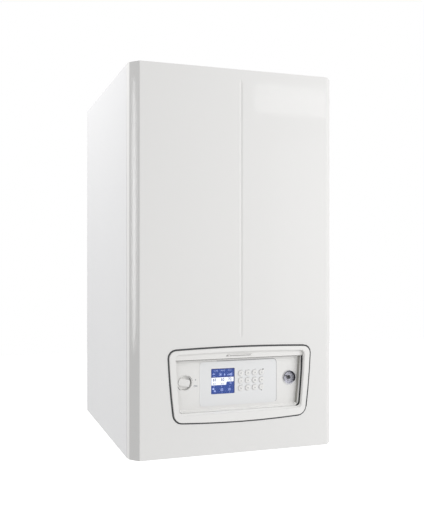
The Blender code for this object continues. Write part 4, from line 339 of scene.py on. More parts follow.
def make_materials(colours):
    """Every finish, by the name that the pieces ask for."""
    for group in (shade_group, relief_group, spangle_group, grid_group):
        group()
    even = (1.0, 1.0, 1.0)
    # Title, colour, roughness, metallic, second, scale, amount, spread, grain, depth, stretch and coat
    rows = {
        "plastic": ("White moulding", colours.plastic, 0.42, 0, 0.96, 9.0, 0.3, 0.06, 1800.0, 0.05),
        # The next row is a lighter copy of the white moulding, painted light for faces that stand in shade
        "bright": ("Bright moulding", (0.96, 0.955, 0.94), 0.36, 0, 0.97, 9.0, 0.3, 0.06, 1800.0),
        "module": ("Cool white moulding", colours.module, 0.38, 0, 0.965, 11.0, 0.3, 0.06, 2200.0, 0.04),
        # The next row is a dark grey that paints shade on the upright walls of the recess
        "trim": ("Shaded trim", (0.33, 0.325, 0.30), 0.5, 0, 0.9, 40.0, 0.3, 0.06, 1800.0),
        "rubber": ("Gasket rubber", colours.rubber, 0.62, 0, 1.7, 30.0, 0.4, 0.06, 2500.0, 0.12),
        "zinc": ("Galvanised sheet", colours.zinc, 0.36, 0.85, 0.8, 14.0, 0.4, 0.16, 700.0, 0.03),
        "steel": ("Stainless steel", colours.steel, 0.27, 1.0, 0.85, 8.0, 0.4, 0.1, 260.0, 0.08, (1.0, 9.0, 1.0)),
        "casting": ("Cast aluminium", colours.casting, 0.52, 0.8, 0.8, 20.0, 0.5, 0.12, 420.0, 0.35),
        "brass": ("Machined brass", colours.brass, 0.3, 1.0, 0.72, 34.0, 0.5, 0.12, 500.0, 0.07, (0.2, 6.0, 0.2)),
        "copper": ("Copper tube", colours.copper, 0.33, 1.0, 0.55, 18.0, 0.6, 0.2, 300.0, 0.05, (6.0, 6.0, 0.4)),
        "iron": ("Painted iron", colours.iron, 0.5, 0, 1.5, 26.0, 0.4, 0.06, 380.0, 0.4, even, 0.2, 0.3),
        "black": ("Black moulding", colours.black, 0.45, 0, 1.8, 24.0, 0.5, 0.06, 1500.0, 0.1),
        "grey": ("Grey moulding", colours.grey, 0.42, 0, 0.85, 22.0, 0.4, 0.06, 1500.0, 0.07),
        "red": ("Red moulding", colours.red, 0.38, 0, 0.75, 60.0, 0.3, 0.06, 1500.0),
        "ceramic": ("Glazed ceramic", (0.80, 0.77, 0.70), 0.18, 0, 0.9, 70.0, 0.3, 0.06, 900.0, 0.02, even, 0.4),
        "circuit": ("Circuit board", (0.012, 0.12, 0.045), 0.35, 0, 1.9, 160.0, 0.6, 0.06, 900.0, 0.25, even, 0.3),
        "dial": ("Dial face", colours.dial, 0.5, 0, 0.9, 90.0, 0.3, 0.06, 900.0, 0.02),
        "rim": ("Gauge rim", (0.62, 0.62, 0.64), 0.3, 0.6, 0.7, 60.0, 0.3, 0.06, 900.0, 0.03),
    }
    # Title, colour, glow and specular level
    inks = {
        # The next two rows are painted shadow lines, not print
        "painted_shadow_line": ("Painted shadow line", (0.36, 0.36, 0.37)),
        "painted_shadow": ("Shadow line", (0.15, 0.145, 0.14)),
        "grey_ink": ("Grey print", colours.print_grey),
        "black_ink": ("Black print", colours.print_black, 0.0, 0.1),
        "lit_ink": ("Lit print", colours.screen_ink, 0.35),
        "pale_ink": ("Pale lit print", (0.34, 0.42, 0.78), 0.3),
        "dark_ink": ("Dark screen print", (0.012, 0.018, 0.14), 0.2),
    }
    made = {name: finish(*row) for name, row in rows.items()}
    made.update({name: ink_finish(*row) for name, row in inks.items()})
    galvanised(made["zinc"])
    # Painted shade: the casing's colour darkened to 0.74 for the left fold, which turns away from the light
    fold = [value * 0.74 for value in colours.casing]
    made.update({
        "casing": powder_coat("Powder coat", colours.casing, spread=0.05),
        "fold": powder_coat("Powder coat with painted shade on the left fold", fold, depth=0.03, coat=1.0, coat_roughness=0.07),
        # Painted shade: the side panels take a greyer copy of the casing's powder coat
        "side": powder_coat("Powder coat of the sides, darkened as painted shade", (0.752, 0.752, 0.758)),
        "screen": screen_finish(colours.screen, 0.3),
        "screen_lens": clear_finish("Screen window", 0.02, 0.06),
        "gauge_lens": clear_finish("Gauge glass", 0.04, 0.03),
    })
    return made


MATERIALS = {}


# Mesh helpers


def new_object(name, data):
    """A new object in the scene."""
    thing = bpy.data.objects.new(name, data)
    bpy.context.scene.collection.objects.link(thing)
    return thing


def piece_from(mesh, name, material, like):
    """The finished piece: named, painted and on the body of the node that it goes with."""
    mesh.name = name
    mesh.materials.clear()
    mesh.materials.append(MATERIALS[material])
    piece = new_object(name, mesh)
    body = next(body for body, members in bodies.items() if like in members)
    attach(piece, body)
    return piece


def fitted(name, shape, material, like):
    """A small fitting from a bmesh."""
    piece_from(mesh_from(shape), name, material, like)


def printed(name, outlines, front, thickness, material, like):
    """Thin plates that face -Y as one fitting."""
    fitted(name, plates(outlines, front, thickness), material, like)


def mesh_from(shape, smooth_angle=35.0, recalculate=True):
    """A mesh from a bmesh, shaded smooth between its sharp edges."""
    if recalculate:
        bmesh.ops.recalc_face_normals(shape, faces=shape.faces)
    for edge in shape.edges:
        edge.smooth = len(edge.link_faces) == 2 and edge.calc_face_angle() < math.radians(smooth_angle)
    for face in shape.faces:
        face.smooth = True
    mesh = bpy.data.meshes.new("mesh")
    shape.to_mesh(mesh)
    shape.free()
    return mesh


def settled(host):
    """The mesh that an object's modifiers or letters make; the object goes."""
    bpy.context.view_layer.update()
    mesh = bpy.data.meshes.new_from_object(host.evaluated_get(bpy.context.evaluated_depsgraph_get()))
    bpy.data.objects.remove(host, do_unlink=True)
    return mesh


def dressed(node, material, width, segments=3, chosen=None, least_angle=25.0, smooth_angle=35.0):
    """A copy of a node with its edges rounded and its flat faces evenly shaded, which stands for it."""
    shape = bmesh.new()
    shape.from_mesh(nodes[node].data)
    bmesh.ops.remove_doubles(shape, verts=shape.verts, dist=MERGE)
    bmesh.ops.dissolve_limit(shape, angle_limit=FLAT_ANGLE, verts=shape.verts, edges=shape.edges)
    if width:
        edges = [
            edge for edge in shape.edges
            if len(edge.link_faces) == 2 and math.degrees(edge.calc_face_angle()) > least_angle
            and (chosen is None or chosen(edge))
        ]
        bmesh.ops.bevel(shape, geom=edges, offset=width, segments=segments, profile=0.5, affect="EDGES",
                        clamp_overlap=True)
    host = new_object("host", mesh_from(shape, smooth_angle, recalculate=False))
    host.modifiers.new("Weighted normals", "WEIGHTED_NORMAL").keep_sharp = True
    piece = piece_from(settled(host), f"{node}_dressed", material, node)
    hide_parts(node)
    return piece


def painted(material, *names):
    """The nodes keep their shape and get a better material."""
    for name in names:
        for slot in nodes[name].material_slots:
            slot.material = MATERIALS[material]


def repainted(piece, material, chosen):
    """Gives the chosen faces another finish, where they still have the piece's first one."""
    piece.data.materials.append(MATERIALS[material])
    last = len(piece.data.materials) - 1
    for face in piece.data.polygons:
        if face.material_index == 0 and chosen(face):
            face.material_index = last


def corners_of(node):
    return [vert.co for vert in nodes[node].data.vertices]


def climbing(places):
    """The (x, z) of these places, from the lowest up."""
    return sorted({(round(co.x, 5), round(co.z, 5)) for co in places}, key=lambda point: point[1])


def plates(outlines, front, thickness, shape=None):
    """Thin plates that face -Y, one for each outline of (x, z)."""
    shape = shape or bmesh.new()
    for outline in outlines:
        near, far = ([shape.verts.new((x, y, z)) for x, z in outline] for y in (front, front + thickness))
        shape.faces.new(near)
        shape.faces.new(far[::-1])
        for i in range(len(near)):
            j = (i + 1) % len(near)
            shape.faces.new((near[j], near[i], far[i], far[j]))
    return shape


def rectangle(x, z, width, height):
    return [(x + i * width / 2, z + j * height / 2) for i, j in ((-1, -1), (1, -1), (1, 1), (-1, 1))]


def placed(outline, x, z, size):
    """An outline that is drawn about 0, at its place and size."""
    return [(x + size * right, z + size * up) for right, up in outline]


def ribbon(path, width):
    """The outline of a band of this width along a path of (x, z)."""
    sides = ([], [])
    for i, (x, z) in enumerate(path):
        before, after = Vector(path[max(i - 1, 0)]), Vector(path[min(i + 1, len(path) - 1)])
        along = (after - before).normalized()
        for side, offset in zip(sides, (width / 2, -width / 2)):
            side.append((x - along.y * offset, z + along.x * offset))
    return sides[0] + sides[1][::-1]


def arc(x, z, radius, start, sweep, steps):
    """Points along an arc, whose degrees count from +X towards +Z."""
    angles = [math.radians(start + sweep * i / steps) for i in range(steps + 1)]
    return [(x + radius * math.cos(angle), z + radius * math.sin(angle)) for angle in angles]


def arc_band(x, z, inner, outer, start, sweep, steps=32):
    return arc(x, z, outer, start, sweep, steps) + arc(x, z, inner, start + sweep, -sweep, steps)


def disc(x, z, radius, steps):
    return arc(x, z, radius, 0.0, 360.0, steps)[:-1]


def close_rows(shape, rows):
    """Faces between closed rows of points, and from the last row back to the first."""
    for row, after in zip(rows, rows[1:] + rows[:1]):
        for i, vert in enumerate(row):
            j = (i + 1) % len(row)
            shape.faces.new((vert, row[j], after[j], after[i]))


def washer(x, z, inner, outer, front, rear):
    """A flat ring that faces -Y."""
    shape = bmesh.new()
    rows = [
        [shape.verts.new((across, y, up)) for across, up in disc(x, z, radius, 40)]
        for radius, y in ((inner, front), (outer, front), (outer, rear), (inner, rear))
    ]
    close_rows(shape, rows)
    return shape


def turned_ring(shape, x, y, inner, outer, sides, foot, head):
    """An upright ring, whose outside is a polygon where it has sides; outer is then half across flats."""
    steps, rows = 24, ([], [], [], [])
    for i in range(steps):
        angle, reach = 2 * math.pi * i / steps, outer
        if sides:
            share = math.pi / sides
            reach = outer / math.cos((angle + share) % (2 * share) - share)
        for row, radius, z in zip(rows, (reach, reach, inner, inner), (foot, head, head, foot)):
            row.append(shape.verts.new((x + radius * math.cos(angle), y + radius * math.sin(angle), z)))
    close_rows(shape, rows)


def lettering(rows, front, thickness, weight=0.0):
    """Words as thin plates that face -Y; each row is (text, x, z, height), and weight makes them bolder."""
    shape = bmesh.new()
    for text, x, z, height in rows:
        curve = bpy.data.curves.new("words", "FONT")
        curve.body = text
        curve.size = height * FONT_SCALE
        curve.align_x = curve.align_y = "CENTER"
        curve.extrude = thickness / 2
        curve.offset = height * weight
        curve.resolution_u = 3
        mesh = settled(new_object("words", curve))
        mesh.transform(Matrix.Translation((x, front + thickness / 2, z)) @ Matrix.Rotation(math.pi / 2, 4, "X"))
        shape.from_mesh(mesh)
        bpy.data.curves.remove(curve)
        bpy.data.meshes.remove(mesh)
    bmesh.ops.remove_doubles(shape, verts=shape.verts, dist=0.000001)
    return shape


# Geometry Nodes


def grown(name, tree, values, material, like):
    """A small fitting that a tree makes with these input values."""
    host = new_object(name, bpy.data.meshes.new(name))
    step = host.modifiers.new("Pattern", "NODES")
    step.node_group = bpy.data.node_groups[tree]
    values = {**values, "Material": MATERIALS[material]}
    for item in step.node_group.interface.items_tree:
        if item.in_out == "INPUT":
            step[item.identifier] = values[item.name]
    shape = bmesh.new()
    shape.from_mesh(settled(host))
    fitted(name, shape, material, like)


def finished(tree, result, geometry, material):
    """Ends a tree in real geometry with its material."""
    real = add(tree, "GeometryNodeRealizeInstances", Geometry=geometry)
    feed(tree, result[0], add(tree, "GeometryNodeSetMaterial", Geometry=real, Material=material))


def ring_of_bars_tree():
    """Bars set round a centre, each standing along its radius: ticks on a dial, ribs on a motor."""
    tree, given, result = new_group("Ring of bars", {
        "Count": 24, "Centre": "Vector", "Radius": 0.01, "Start": 0.0, "Step": 0.26,
        "Bar": (0.002, 0.002, 0.002), "Material": "Material",
    }, {"Geometry": "Geometry"}, "GeometryNodeTree")
    points = add(tree, "GeometryNodePoints", Count=given["Count"])
    turn = maths(tree, "MULTIPLY_ADD", add(tree, "GeometryNodeInputIndex"), given["Step"], given["Start"])
    across, up = (maths(tree, "MULTIPLY", maths(tree, way, turn), given["Radius"]) for way in ("COSINE", "SINE"))
    place = vector_maths(tree, "ADD", add(tree, "ShaderNodeCombineXYZ", X=across, Z=up), given["Centre"])
    spread = add(tree, "GeometryNodeSetPosition", Geometry=points, Position=place)
    bar = add(tree, "GeometryNodeMeshCube", Size=given["Bar"])
    lean = add(tree, "ShaderNodeCombineXYZ", Y=maths(tree, "MULTIPLY", turn, -1.0))
    turned = add(tree, "FunctionNodeEulerToRotation", Euler=lean)
    bars = add(tree, "GeometryNodeInstanceOnPoints", Points=spread, Instance=bar, Rotation=turned)
    finished(tree, result, bars, given["Material"])


def screw_row_tree():
    """Pan-head screws along a line, with their heads turned to a given direction."""
    tree, given, result = new_group("Screw row", {
        "From": "Vector", "To": "Vector", "Count": 4, "Facing": (0.0, 1.0, 0.0), "Head": 0.0045,
        "Material": "Material",
    }, {"Geometry": "Geometry"}, "GeometryNodeTree")
    head, sides = given["Head"], 14
    line = add(tree, "GeometryNodeMeshLine", {"mode": "END_POINTS"}, Count=given["Count"],
               Start_Location=given["From"], Offset=given["To"])
    thick, shoulder, rise = (maths(tree, "MULTIPLY", head, share) for share in (0.34, 0.78, 0.30))
    skirt = add(tree, "GeometryNodeMeshCylinder", Vertices=sides, Radius=head, Depth=thick)
    cap = add(tree, "GeometryNodeMeshCone", Vertices=sides, Radius_Top=maths(tree, "MULTIPLY", shoulder, 0.55),
              Radius_Bottom=head, Depth=rise)
    lift = add(tree, "ShaderNodeCombineXYZ", Z=maths(tree, "MULTIPLY", thick, 0.5))
    whole = add(tree, "GeometryNodeJoinGeometry")
    for part in (skirt, add(tree, "GeometryNodeTransform", Geometry=cap, Translation=lift)):
        feed(tree, whole.inputs[0], part)
    aimed = add(tree, "FunctionNodeAlignRotationToVector", {"axis": "Z"}, Vector=given["Facing"])
    screws = add(tree, "GeometryNodeInstanceOnPoints", Points=line, Instance=whole, Rotation=aimed)
    finished(tree, result, screws, given["Material"])


# Operators


class BOILER_OT_materials(bpy.types.Operator):
    """Makes every finish and both patterns"""

    bl_idname = "boiler.materials"
    bl_label = "Make finishes"

    def execute(self, context):
        MATERIALS.update(make_materials(context.scene.boiler_colours))
        ring_of_bars_tree()
        screw_row_tree()
        return {"FINISHED"}


class BOILER_OT_casing(bpy.types.Operator):
    """Rounds the folds of the casing and paints it"""

    bl_idname = "boiler.casing"
    bl_label = "Dress the casing"

    def execute(self, context):
        near, far = ends_of("front_cover")
        tall = (far.z - near.z) / 2
        front_fold, side_lip, painted_shade_reach = 0.026, 0.0032, 0.03

        def upright_fold(edge):
            a, b = (vert.co for vert in edge.verts)
            aside = min(a.x - near.x, far.x - a.x)
            outside = aside < front_fold and (a.y - near.y < 0.0002 or aside < side_lip)
            return outside and abs(a.z - b.z) > tall and abs(a.x - b.x) < 0.0001

        # Painted shade: the faces of the left fold take the darker copy of the powder coat
        def left_fold(face):
            return face.normal.x < -0.45 and face.normal.y < -0.45 and face.center.x - near.x < painted_shade_reach

        fold = context.scene.boiler_sizes.fold
        cover = dressed("front_cover", "casing", fold, segments=4, chosen=upright_fold, smooth_angle=14.0)
        repainted(cover, "fold", left_fold)
        # The side panels get the powder coat darkened as painted shade
        painted("side", "left_side_panel", "right_side_panel")
        painted("casing", "top_panel", "bottom_panel")
        painted("zinc", "back_frame", "wall_bracket", "electronics_box")
        painted("steel", "box_screw_left", "box_screw_right")
        return {"FINISHED"}


def shade_walls(fascia):
    """Paints shade on the upright walls of the recess in a dark grey, and painted light on its lower wall and rim
    in a lighter white.
    """
    reach = (high("fascia").x - low("fascia").x) / 3
    centre, below, behind = middle("fascia").x, low("door").z, low("door").y + 0.007
    foot = low("controller_housing").z

    def upright_wall(face):
        x, y, z = face.center
        beside = abs(x - centre) > reach and z < below and y > behind
        return beside and abs(face.normal.x) > 0.9 and face.area > 0.00002

    def lower_wall(face):
        rim = face.normal.y < -0.9 and face.center.y < behind
        return face.center.z < foot and (face.normal.z > 0.5 or rim)

    # Painted shade on the upright walls, then painted light on the lower wall and rim
    repainted(fascia, "trim", upright_wall)
    repainted(fascia, "bright", lower_wall)


def module_seam():
    """A painted shadow line round the module's right corners, and a pale fillet along its left side in painted
    light.
    """
    near, far = ends_of("controller_housing")
    radius, width, gap, thick = 0.010, 0.0017, 0.0008, 0.0003
    face, turn, reach = near.y + 0.0013, far.x - radius, radius + gap
    path = [(near.x + 0.05, far.z + gap)]
    path += arc(turn, far.z - radius, reach, 90.0, -90.0, 8) + arc(turn, near.z + radius, reach, 0.0, -45.0, 4)
    # Painted shadow: a dark line along the top and right of the module
    printed("module_seam", [ribbon(path, width)], face - thick, thick, "painted_shadow_line", "fascia")
    fillet = bmesh.new()
    outer, inner, rear = near.x - 0.0016, near.x + 0.0004, face + 0.0001
    corners = ((outer, rear), (inner, near.y - 0.00005), (inner, rear))
    foot, head = (
        [fillet.verts.new((x, y, z)) for x, y in corners] for z in (near.z + radius * 0.4, far.z - radius * 0.4)
    )
    fillet.faces.new(foot)
    fillet.faces.new(head[::-1])
    for i in range(3):
        fillet.faces.new((foot[i - 1], foot[i], head[i], head[i - 1]))
    # Painted light: the fillet takes the lighter copy of the moulding
    fitted("module_fillet", fillet, "bright", "controller_housing")


def channel_seals():
    """Dark rubber strips behind the bezel along the door's side channels, as painted shade in the gaps there."""
    near, far = ends_of("panel_bezel")
    centre, half, top = (near + far) / 2, (far.x - near.x) / 2, low("door").z
    width, overlap, lean, frame_width, foot = 0.0046, 0.0002, 0.0006, 0.008, near.z + 0.016
    inner = [
        co for co in corners_of("panel_bezel")
        if co.y > far.y - 0.0002 and abs(co.x - centre.x) < half - frame_width and foot < co.z < top
    ]
    shapes = []
    for side, start in ((-1, 0.02), (1, 0.0)):
        edge = climbing(co for co in inner if side * (co.x - centre.x) > half * 0.78)
        path = [(x + side * overlap, z) for x, z in edge if z > edge[0][1] + start or not start]
        path.append((path[-1][0] + side * lean, top))
        shapes.append(ribbon(path, width))
    printed("channel_seals", shapes, low("fascia").y + 0.0057, 0.0003, "rubber", "flue_seal")


def gasket_lip():
    """A dark rubber strip over the edge of the cover's opening on its right side, which widens the gasket's line
    there: partly gasket, partly painted shade.
    """
    near, far = ends_of("panel_gasket")
    centre, half, front = (near.x + far.x) / 2, (far.x - near.x) / 2, low("front_cover").y
    width, overlap, thick, slack = 0.0010, 0.0004, 0.0003, 0.002
    edge = climbing(
        co for co in corners_of("front_cover")
        if abs(co.y - front) < 0.0001 and 0.93 * half < co.x - centre < half + 0.003
        and near.z - slack < co.z < far.z + slack
    )
    lip = ribbon([(x + overlap, z) for x, z in edge], width)
    printed("gasket_lip", [lip], front - thick, thick, "rubber", "panel_gasket")


def door_lines():
    """Painted shadows: the dark line and notch under the door's finger pull, and the dark line along its lower
    edge.
    """
    near, far = ends_of("door")
    x, pull, thick, fine = middle("door").x, near.z + 0.0092, 0.0001, 0.0013
    notch = [(x - 0.0430, pull - 0.0018), (x - 0.0365, pull - 0.0018), (x - 0.0390, pull + 0.0022)]
    foot = rectangle(x, near.z + 0.0009, far.x - near.x - 0.004, fine)
    lines = plates([notch, foot], near.y + 0.0034, thick)
    plates([rectangle(x - 0.002, pull, 0.062, fine)], near.y - 0.00005, thick, lines)
    fitted("door_lines", lines, "painted_shadow", "door")


class BOILER_OT_control_panel(bpy.types.Operator):
    """Rounds and paints the gasket, bezel, door, fascia and module"""

    bl_idname = "boiler.control_panel"
    bl_label = "Dress the control panel"

    def execute(self, context):
        sizes = context.scene.boiler_sizes
        dressed("panel_gasket", "rubber", sizes.sheet_edge)
        corner = low("panel_bezel")
        sill, behind = corner.z + 0.04, corner.y + 0.0025

        def sill_face(face):
            return face.normal.z > 0.3 and face.center.z < sill and face.center.y > behind

        # Painted light: the sill of the bezel's window takes the lighter copy of the moulding
        repainted(dressed("panel_bezel", "plastic", sizes.moulding, segments=2), "bright", sill_face)
        dressed("door", "plastic", sizes.moulding)
        shade_walls(dressed("fascia", "plastic", sizes.moulding))
        dressed("controller_housing", "module", sizes.moulding * 1.5)
        painted("circuit", "circuit_board")
        module_seam()
        channel_seals()
        gasket_lip()
        door_lines()
        return {"FINISHED"}


def screen_signs():
    """Each sign's place and outlines, in screen widths: a sun, a flame, level bars and more."""
    sun = [disc(0, 0, 0.030, 16)] + [disc(*ray, 0.011, 6) for ray in arc(0, 0, 0.052, 0.0, 315.0, 7)]
    flame = [
        (-0.03, -0.02), (-0.012, -0.05), (0.016, -0.05), (0.03, -0.018), (0.012, 0.018), (0.0, 0.055),
        (-0.012, 0.012),
    ]
    levels = [
        ((0.72 + 0.055 * i, 0.25), [rectangle(0, 0.009 * i - 0.0125, 0.035, 0.035 + 0.018 * i)])
        for i in range(4)
    ]
    grill = [rectangle(0, 0.045, 0.10, 0.016)]
    grill += [rectangle(i * 0.03 - 0.045, -0.01, 0.014, 0.07) for i in range(4)]
    return [
        ((0.40, 0.235), sun), ((0.58, 0.235), [flame]), *levels,
        ((0.12, 0.225), [rectangle(0, 0, 0.10, 0.02), rectangle(0, 0.03, 0.055, 0.018)]),
        ((0.10, 0.80), [disc(0, 0, 0.042, 18)]),
        ((0.16, 0.88), [[(-0.05, -0.03), (0.05, -0.03), (0.0, 0.04)]]),
        ((0.46, 0.85), grill), ((0.79, 0.85), grill),
    ]


class BOILER_OT_screen(bpy.types.Operator):
    """Lights the screen and draws its page"""

    bl_idname = "boiler.screen"
    bl_label = "Dress the screen"

    def execute(self, context):
        ink = context.scene.boiler_sizes.ink
        painted("screen", "display_screen")
        painted("screen_lens", "display_lens")
        face, centre = low("display_screen").y, middle("display_lens")
        unit = high("display_lens").x - low("display_lens").x

        def at(across, down):
            return centre.x + (across - 0.5) * unit, centre.z + (0.5 - down) * unit

        def draw(name, outlines, thick, material):
            outlines = [[at(*corner) for corner in reversed(outline)] for outline in outlines]
            printed(name, outlines, face - ink, thick, material, "display_screen")

        def write(name, rows, front, thick, material, weight=0.0):
            rows = [(text, *at(across, down), unit * size) for text, across, down, size in rows]
            fitted(name, lettering(rows, front, thick, weight), material, "display_screen")

        field = (0.015, 0.355), (0.965, 0.355), (0.965, 0.535), (0.665, 0.535), (0.640, 0.655), (0.015, 0.655)
        draw("screen_field", [field], ink / 2, "lit_ink")
        bands = ((0, 0, 1, 0.03), (0.975, 0, 1, 1), (0, 0, 0.02, 0.35), (0, 0.33, 1, 0.35))
        bands = [((left, top), (right, top), (right, foot), (left, foot)) for left, top, right, foot in bands]
        draw("screen_edges", bands, ink / 3, "dark_ink")
        signs = [placed(sign, *at(*place), unit) for place, signs in screen_signs() for sign in signs]
        printed("screen_signs", signs, face - ink, ink / 2, "pale_ink", "display_screen")
        small = 0.045
        write("screen_words", [
            ("12:45", 0.20, 0.085, 0.062), ("MON", 0.50, 0.085, 0.055), ("21.5", 0.80, 0.085, 0.062),
            ("0.6", 0.13, 0.315, small), ("1.8", 0.86, 0.315, small), ("48", 0.83, 0.60, 0.07),
            ("A", 0.13, 0.71, small), ("B", 0.45, 0.71, small), ("C", 0.80, 0.71, small),
            ("1", 0.16, 0.955, small), ("2", 0.47, 0.955, small), ("3", 0.80, 0.955, small),
        ], face - ink, ink / 2, "pale_ink")
        write("screen_digits", [
            ("65", 0.150, 0.450, 0.115), ("45.0", 0.135, 0.600, 0.055), ("50", 0.490, 0.450, 0.115),
            ("22.5", 0.480, 0.600, 0.055), ("72", 0.805, 0.445, 0.115),
        ], face - 3 * ink, ink, "dark_ink", weight=0.02)
        return {"FINISHED"}


def key_signs():
    """The outlines of each key's sign, with a reach of 1; arrows and plus are made by quarter turns."""
    bar = 0.35
    up = [(-1, -0.5), (1, -0.5), (0, 1)]
    arm = [(-bar / 2, -1), (bar / 2, -1), (bar / 2, -bar / 2)]
    arrows, arms = [up], [arm]
    for turn in range(3):
        for turns in (arrows, arms):
            turns.append([(-z, x) for x, z in turns[-1]])
    up, left, down, right = arrows
    drop = [(-0.6, -0.4), (0, -1), (0.6, -0.4), (0, 1)]
    ring = arc_band(0, 0, 1 - bar, 1, 110, 320, 18)
    lines = [rectangle(0, shift, 2, bar * 0.8) for shift in (-0.7, 0, 0.7)]
    return (
        [ring, rectangle(0, 0.7, bar, 1.2)], lines, [up], [sum(arms, [])],
        [drop], [left], [rectangle(0, 0, 1.6, 1.6)], [right],
        [ring], [disc(0, 0, 0.7, 14)], [down], [rectangle(0, 0, 2, bar)],
    )


class BOILER_OT_keys(bpy.types.Operator):
    """Rounds the keys and prints a sign on each"""

    bl_idname = "boiler.keys"
    bl_label = "Dress the keys"

    def execute(self, context):
        ink = context.scene.boiler_sizes.ink
        edge, reach = 0.0005, 0.0020
        for name, sign in zip(KEY_NAMES, key_signs()):
            dressed(name, "plastic", edge, least_angle=30.0)
            centre = middle(name)
            outlines = [placed(outline, centre.x, centre.z, reach) for outline in sign]
            printed(f"{name}_sign", outlines, low(name).y - ink, ink * 1.5, "grey_ink", name)
        front, thick = low("controller_housing").y - 2 * ink, 3 * ink
        places = [middle(name) for name in KEY_NAMES]
        marks = [rectangle(at.x + 0.0040, at.z + 0.0088, 0.0018, 0.0009) for at in places[:3] + places[4:]]
        printed("key_marks", marks, front, thick, "grey_ink", "controller_housing")
        top, foot = places[3], places[11]
        lamps = [disc(top.x + 0.0052, top.z + 0.0080, 0.0017, 14)]
        lamps.append(disc(foot.x + 0.0002, foot.z - 0.0086, 0.0014, 14))
        printed("status_lamps", lamps, front, thick, "black_ink", "controller_housing")
        return {"FINISHED"}


class BOILER_OT_switch(bpy.types.Operator):
    """Rounds the switch and prints its marks on the fascia"""

    bl_idname = "boiler.switch"
    bl_label = "Dress the switch"

    def execute(self, context):
        sizes, ink = context.scene.boiler_sizes, context.scene.boiler_sizes.ink
        dressed("switch_knob", "plastic", sizes.moulding, least_angle=40.0)
        # Painted light: the switch's body and its well take the lighter copy of the moulding
        painted("bright", "switch_body")
        floor, face = low("switch_body").y, low("switch_knob").y
        x, _, z = middle("switch_knob")
        rows = [("0", x + 0.030, z + 0.007, 0.0046), ("ON", x + 0.030, z - 0.010, 0.0050)]
        fitted("switch_marks", lettering(rows, floor - ink, ink, weight=0.04), "grey_ink", "fascia")
        ring = washer(x, z, 0.0195, 0.0202, face + 0.0003, face + 0.0008)
        fitted("switch_ring", ring, "plastic", "switch_body")
        # Painted shadow: dark arcs round the knob on the left and lower side and at the upper right
        arcs = [arc_band(x, z, 0.0214, 0.0228, 195.0, 38.0), arc_band(x, z, 0.0210, 0.0220, 15.0, 45.0)]
        printed("switch_arcs", arcs, floor - ink, ink, "painted_shadow", "switch_body")
        return {"FINISHED"}


def needle_hub():
    """The needle's hub, and a broader blade along the needle."""
    centre = middle("gauge_case")
    far = max((co - centre for co in corners_of("gauge_needle")), key=lambda v: v.x * v.x + v.z * v.z)
    along = Vector((far.x, 0.0, far.z)).normalized()
    blade = [
        (centre.x + along.x * reach - along.z * aside, centre.z + along.z * reach + along.x * aside)
        for reach, aside in ((0.0, -0.0022), (0.0125, -0.0006), (0.0125, 0.0006), (0.0, 0.0022))
    ]
    outlines = [disc(centre.x, centre.z, 0.0058, 20), blade]
    printed("needle_hub", outlines, low("gauge_needle").y - 0.0006, 0.0007, "black_ink", "gauge_needle")


class BOILER_OT_gauge(bpy.types.Operator):
    """Makes the gauge's printed dial and paints the gauge"""

    bl_idname = "boiler.gauge"
    bl_label = "Dress the gauge"

    def execute(self, context):
        sizes = context.scene.boiler_sizes
        ink = sizes.ink
        painted("gauge_lens", "gauge_lens")
        painted("black_ink", "gauge_needle")
        front, floor = low("gauge_case").y, low("gauge_case").y + DIAL_SUNK
        x, _, z = middle("gauge_case")

        def inner_wall(face):
            outward = face.normal.x * (face.center.x - x) + face.normal.z * (face.center.z - z)
            return outward < -0.01 and face.center.y < floor

        repainted(dressed("gauge_case", "rim", sizes.sheet_edge, segments=2), "dial", inner_wall)
        dial = washer(x, z, 0.0016, 0.0173, floor - 3 * ink, floor - ink)
        fitted("gauge_dial", dial, "dial", "gauge_case")
        face, start, sweep = floor - 4 * ink, 225.0, -270.0
        scale = arc_band(x, z, 0.0150, 0.0157, start, sweep, 48)
        printed("gauge_scale", [scale], face, ink, "black_ink", "gauge_case")
        # Painted shadow: dark arcs on the rim's front over the top and down the right side, where the rim's shadow
        # falls
        band = [arc_band(x, z, 0.0166, 0.0190, 205.0, -130.0), arc_band(x, z, 0.0138, 0.0186, 75.0, -115.0)]
        printed("gauge_band", band, front - ink, ink, "black_ink", "gauge_case")
        needle_hub()
        for name, count, radius, length, width in (
            ("gauge_ticks", 9, 0.0140, sizes.tick, 0.0006),
            ("gauge_fine_ticks", 33, 0.0144, sizes.tick / 2, 0.00025),
        ):
            values = {
                "Count": count, "Centre": (x, face + ink / 2, z), "Radius": radius,
                "Start": math.radians(start), "Step": math.radians(sweep) / (count - 1),
                "Bar": (length, ink, width),
            }
            grown(name, "Ring of bars", values, "black_ink", "gauge_case")
        rows = [(str(number), *place, 0.0026) for number, place in enumerate(arc(x, z, 0.0102, start, sweep, 4))]
        rows.append(("bar", x, z - 0.0098, 0.0030))
        fitted("gauge_numbers", lettering(rows, face, ink), "black_ink", "gauge_case")
        return {"FINISHED"}


def motor_ribs(node, material, radius, tall, length, sizes):
    """Cooling ribs along a motor's round body."""
    x, y, z = middle(node)
    values = {
        "Count": sizes.ribs, "Centre": (x, y + 0.003, z), "Radius": radius,
        "Start": 0.0, "Step": 2 * math.pi / sizes.ribs, "Bar": (tall, length, sizes.rib),
    }
    grown(f"{node}_ribs", "Ring of bars", values, material, node)


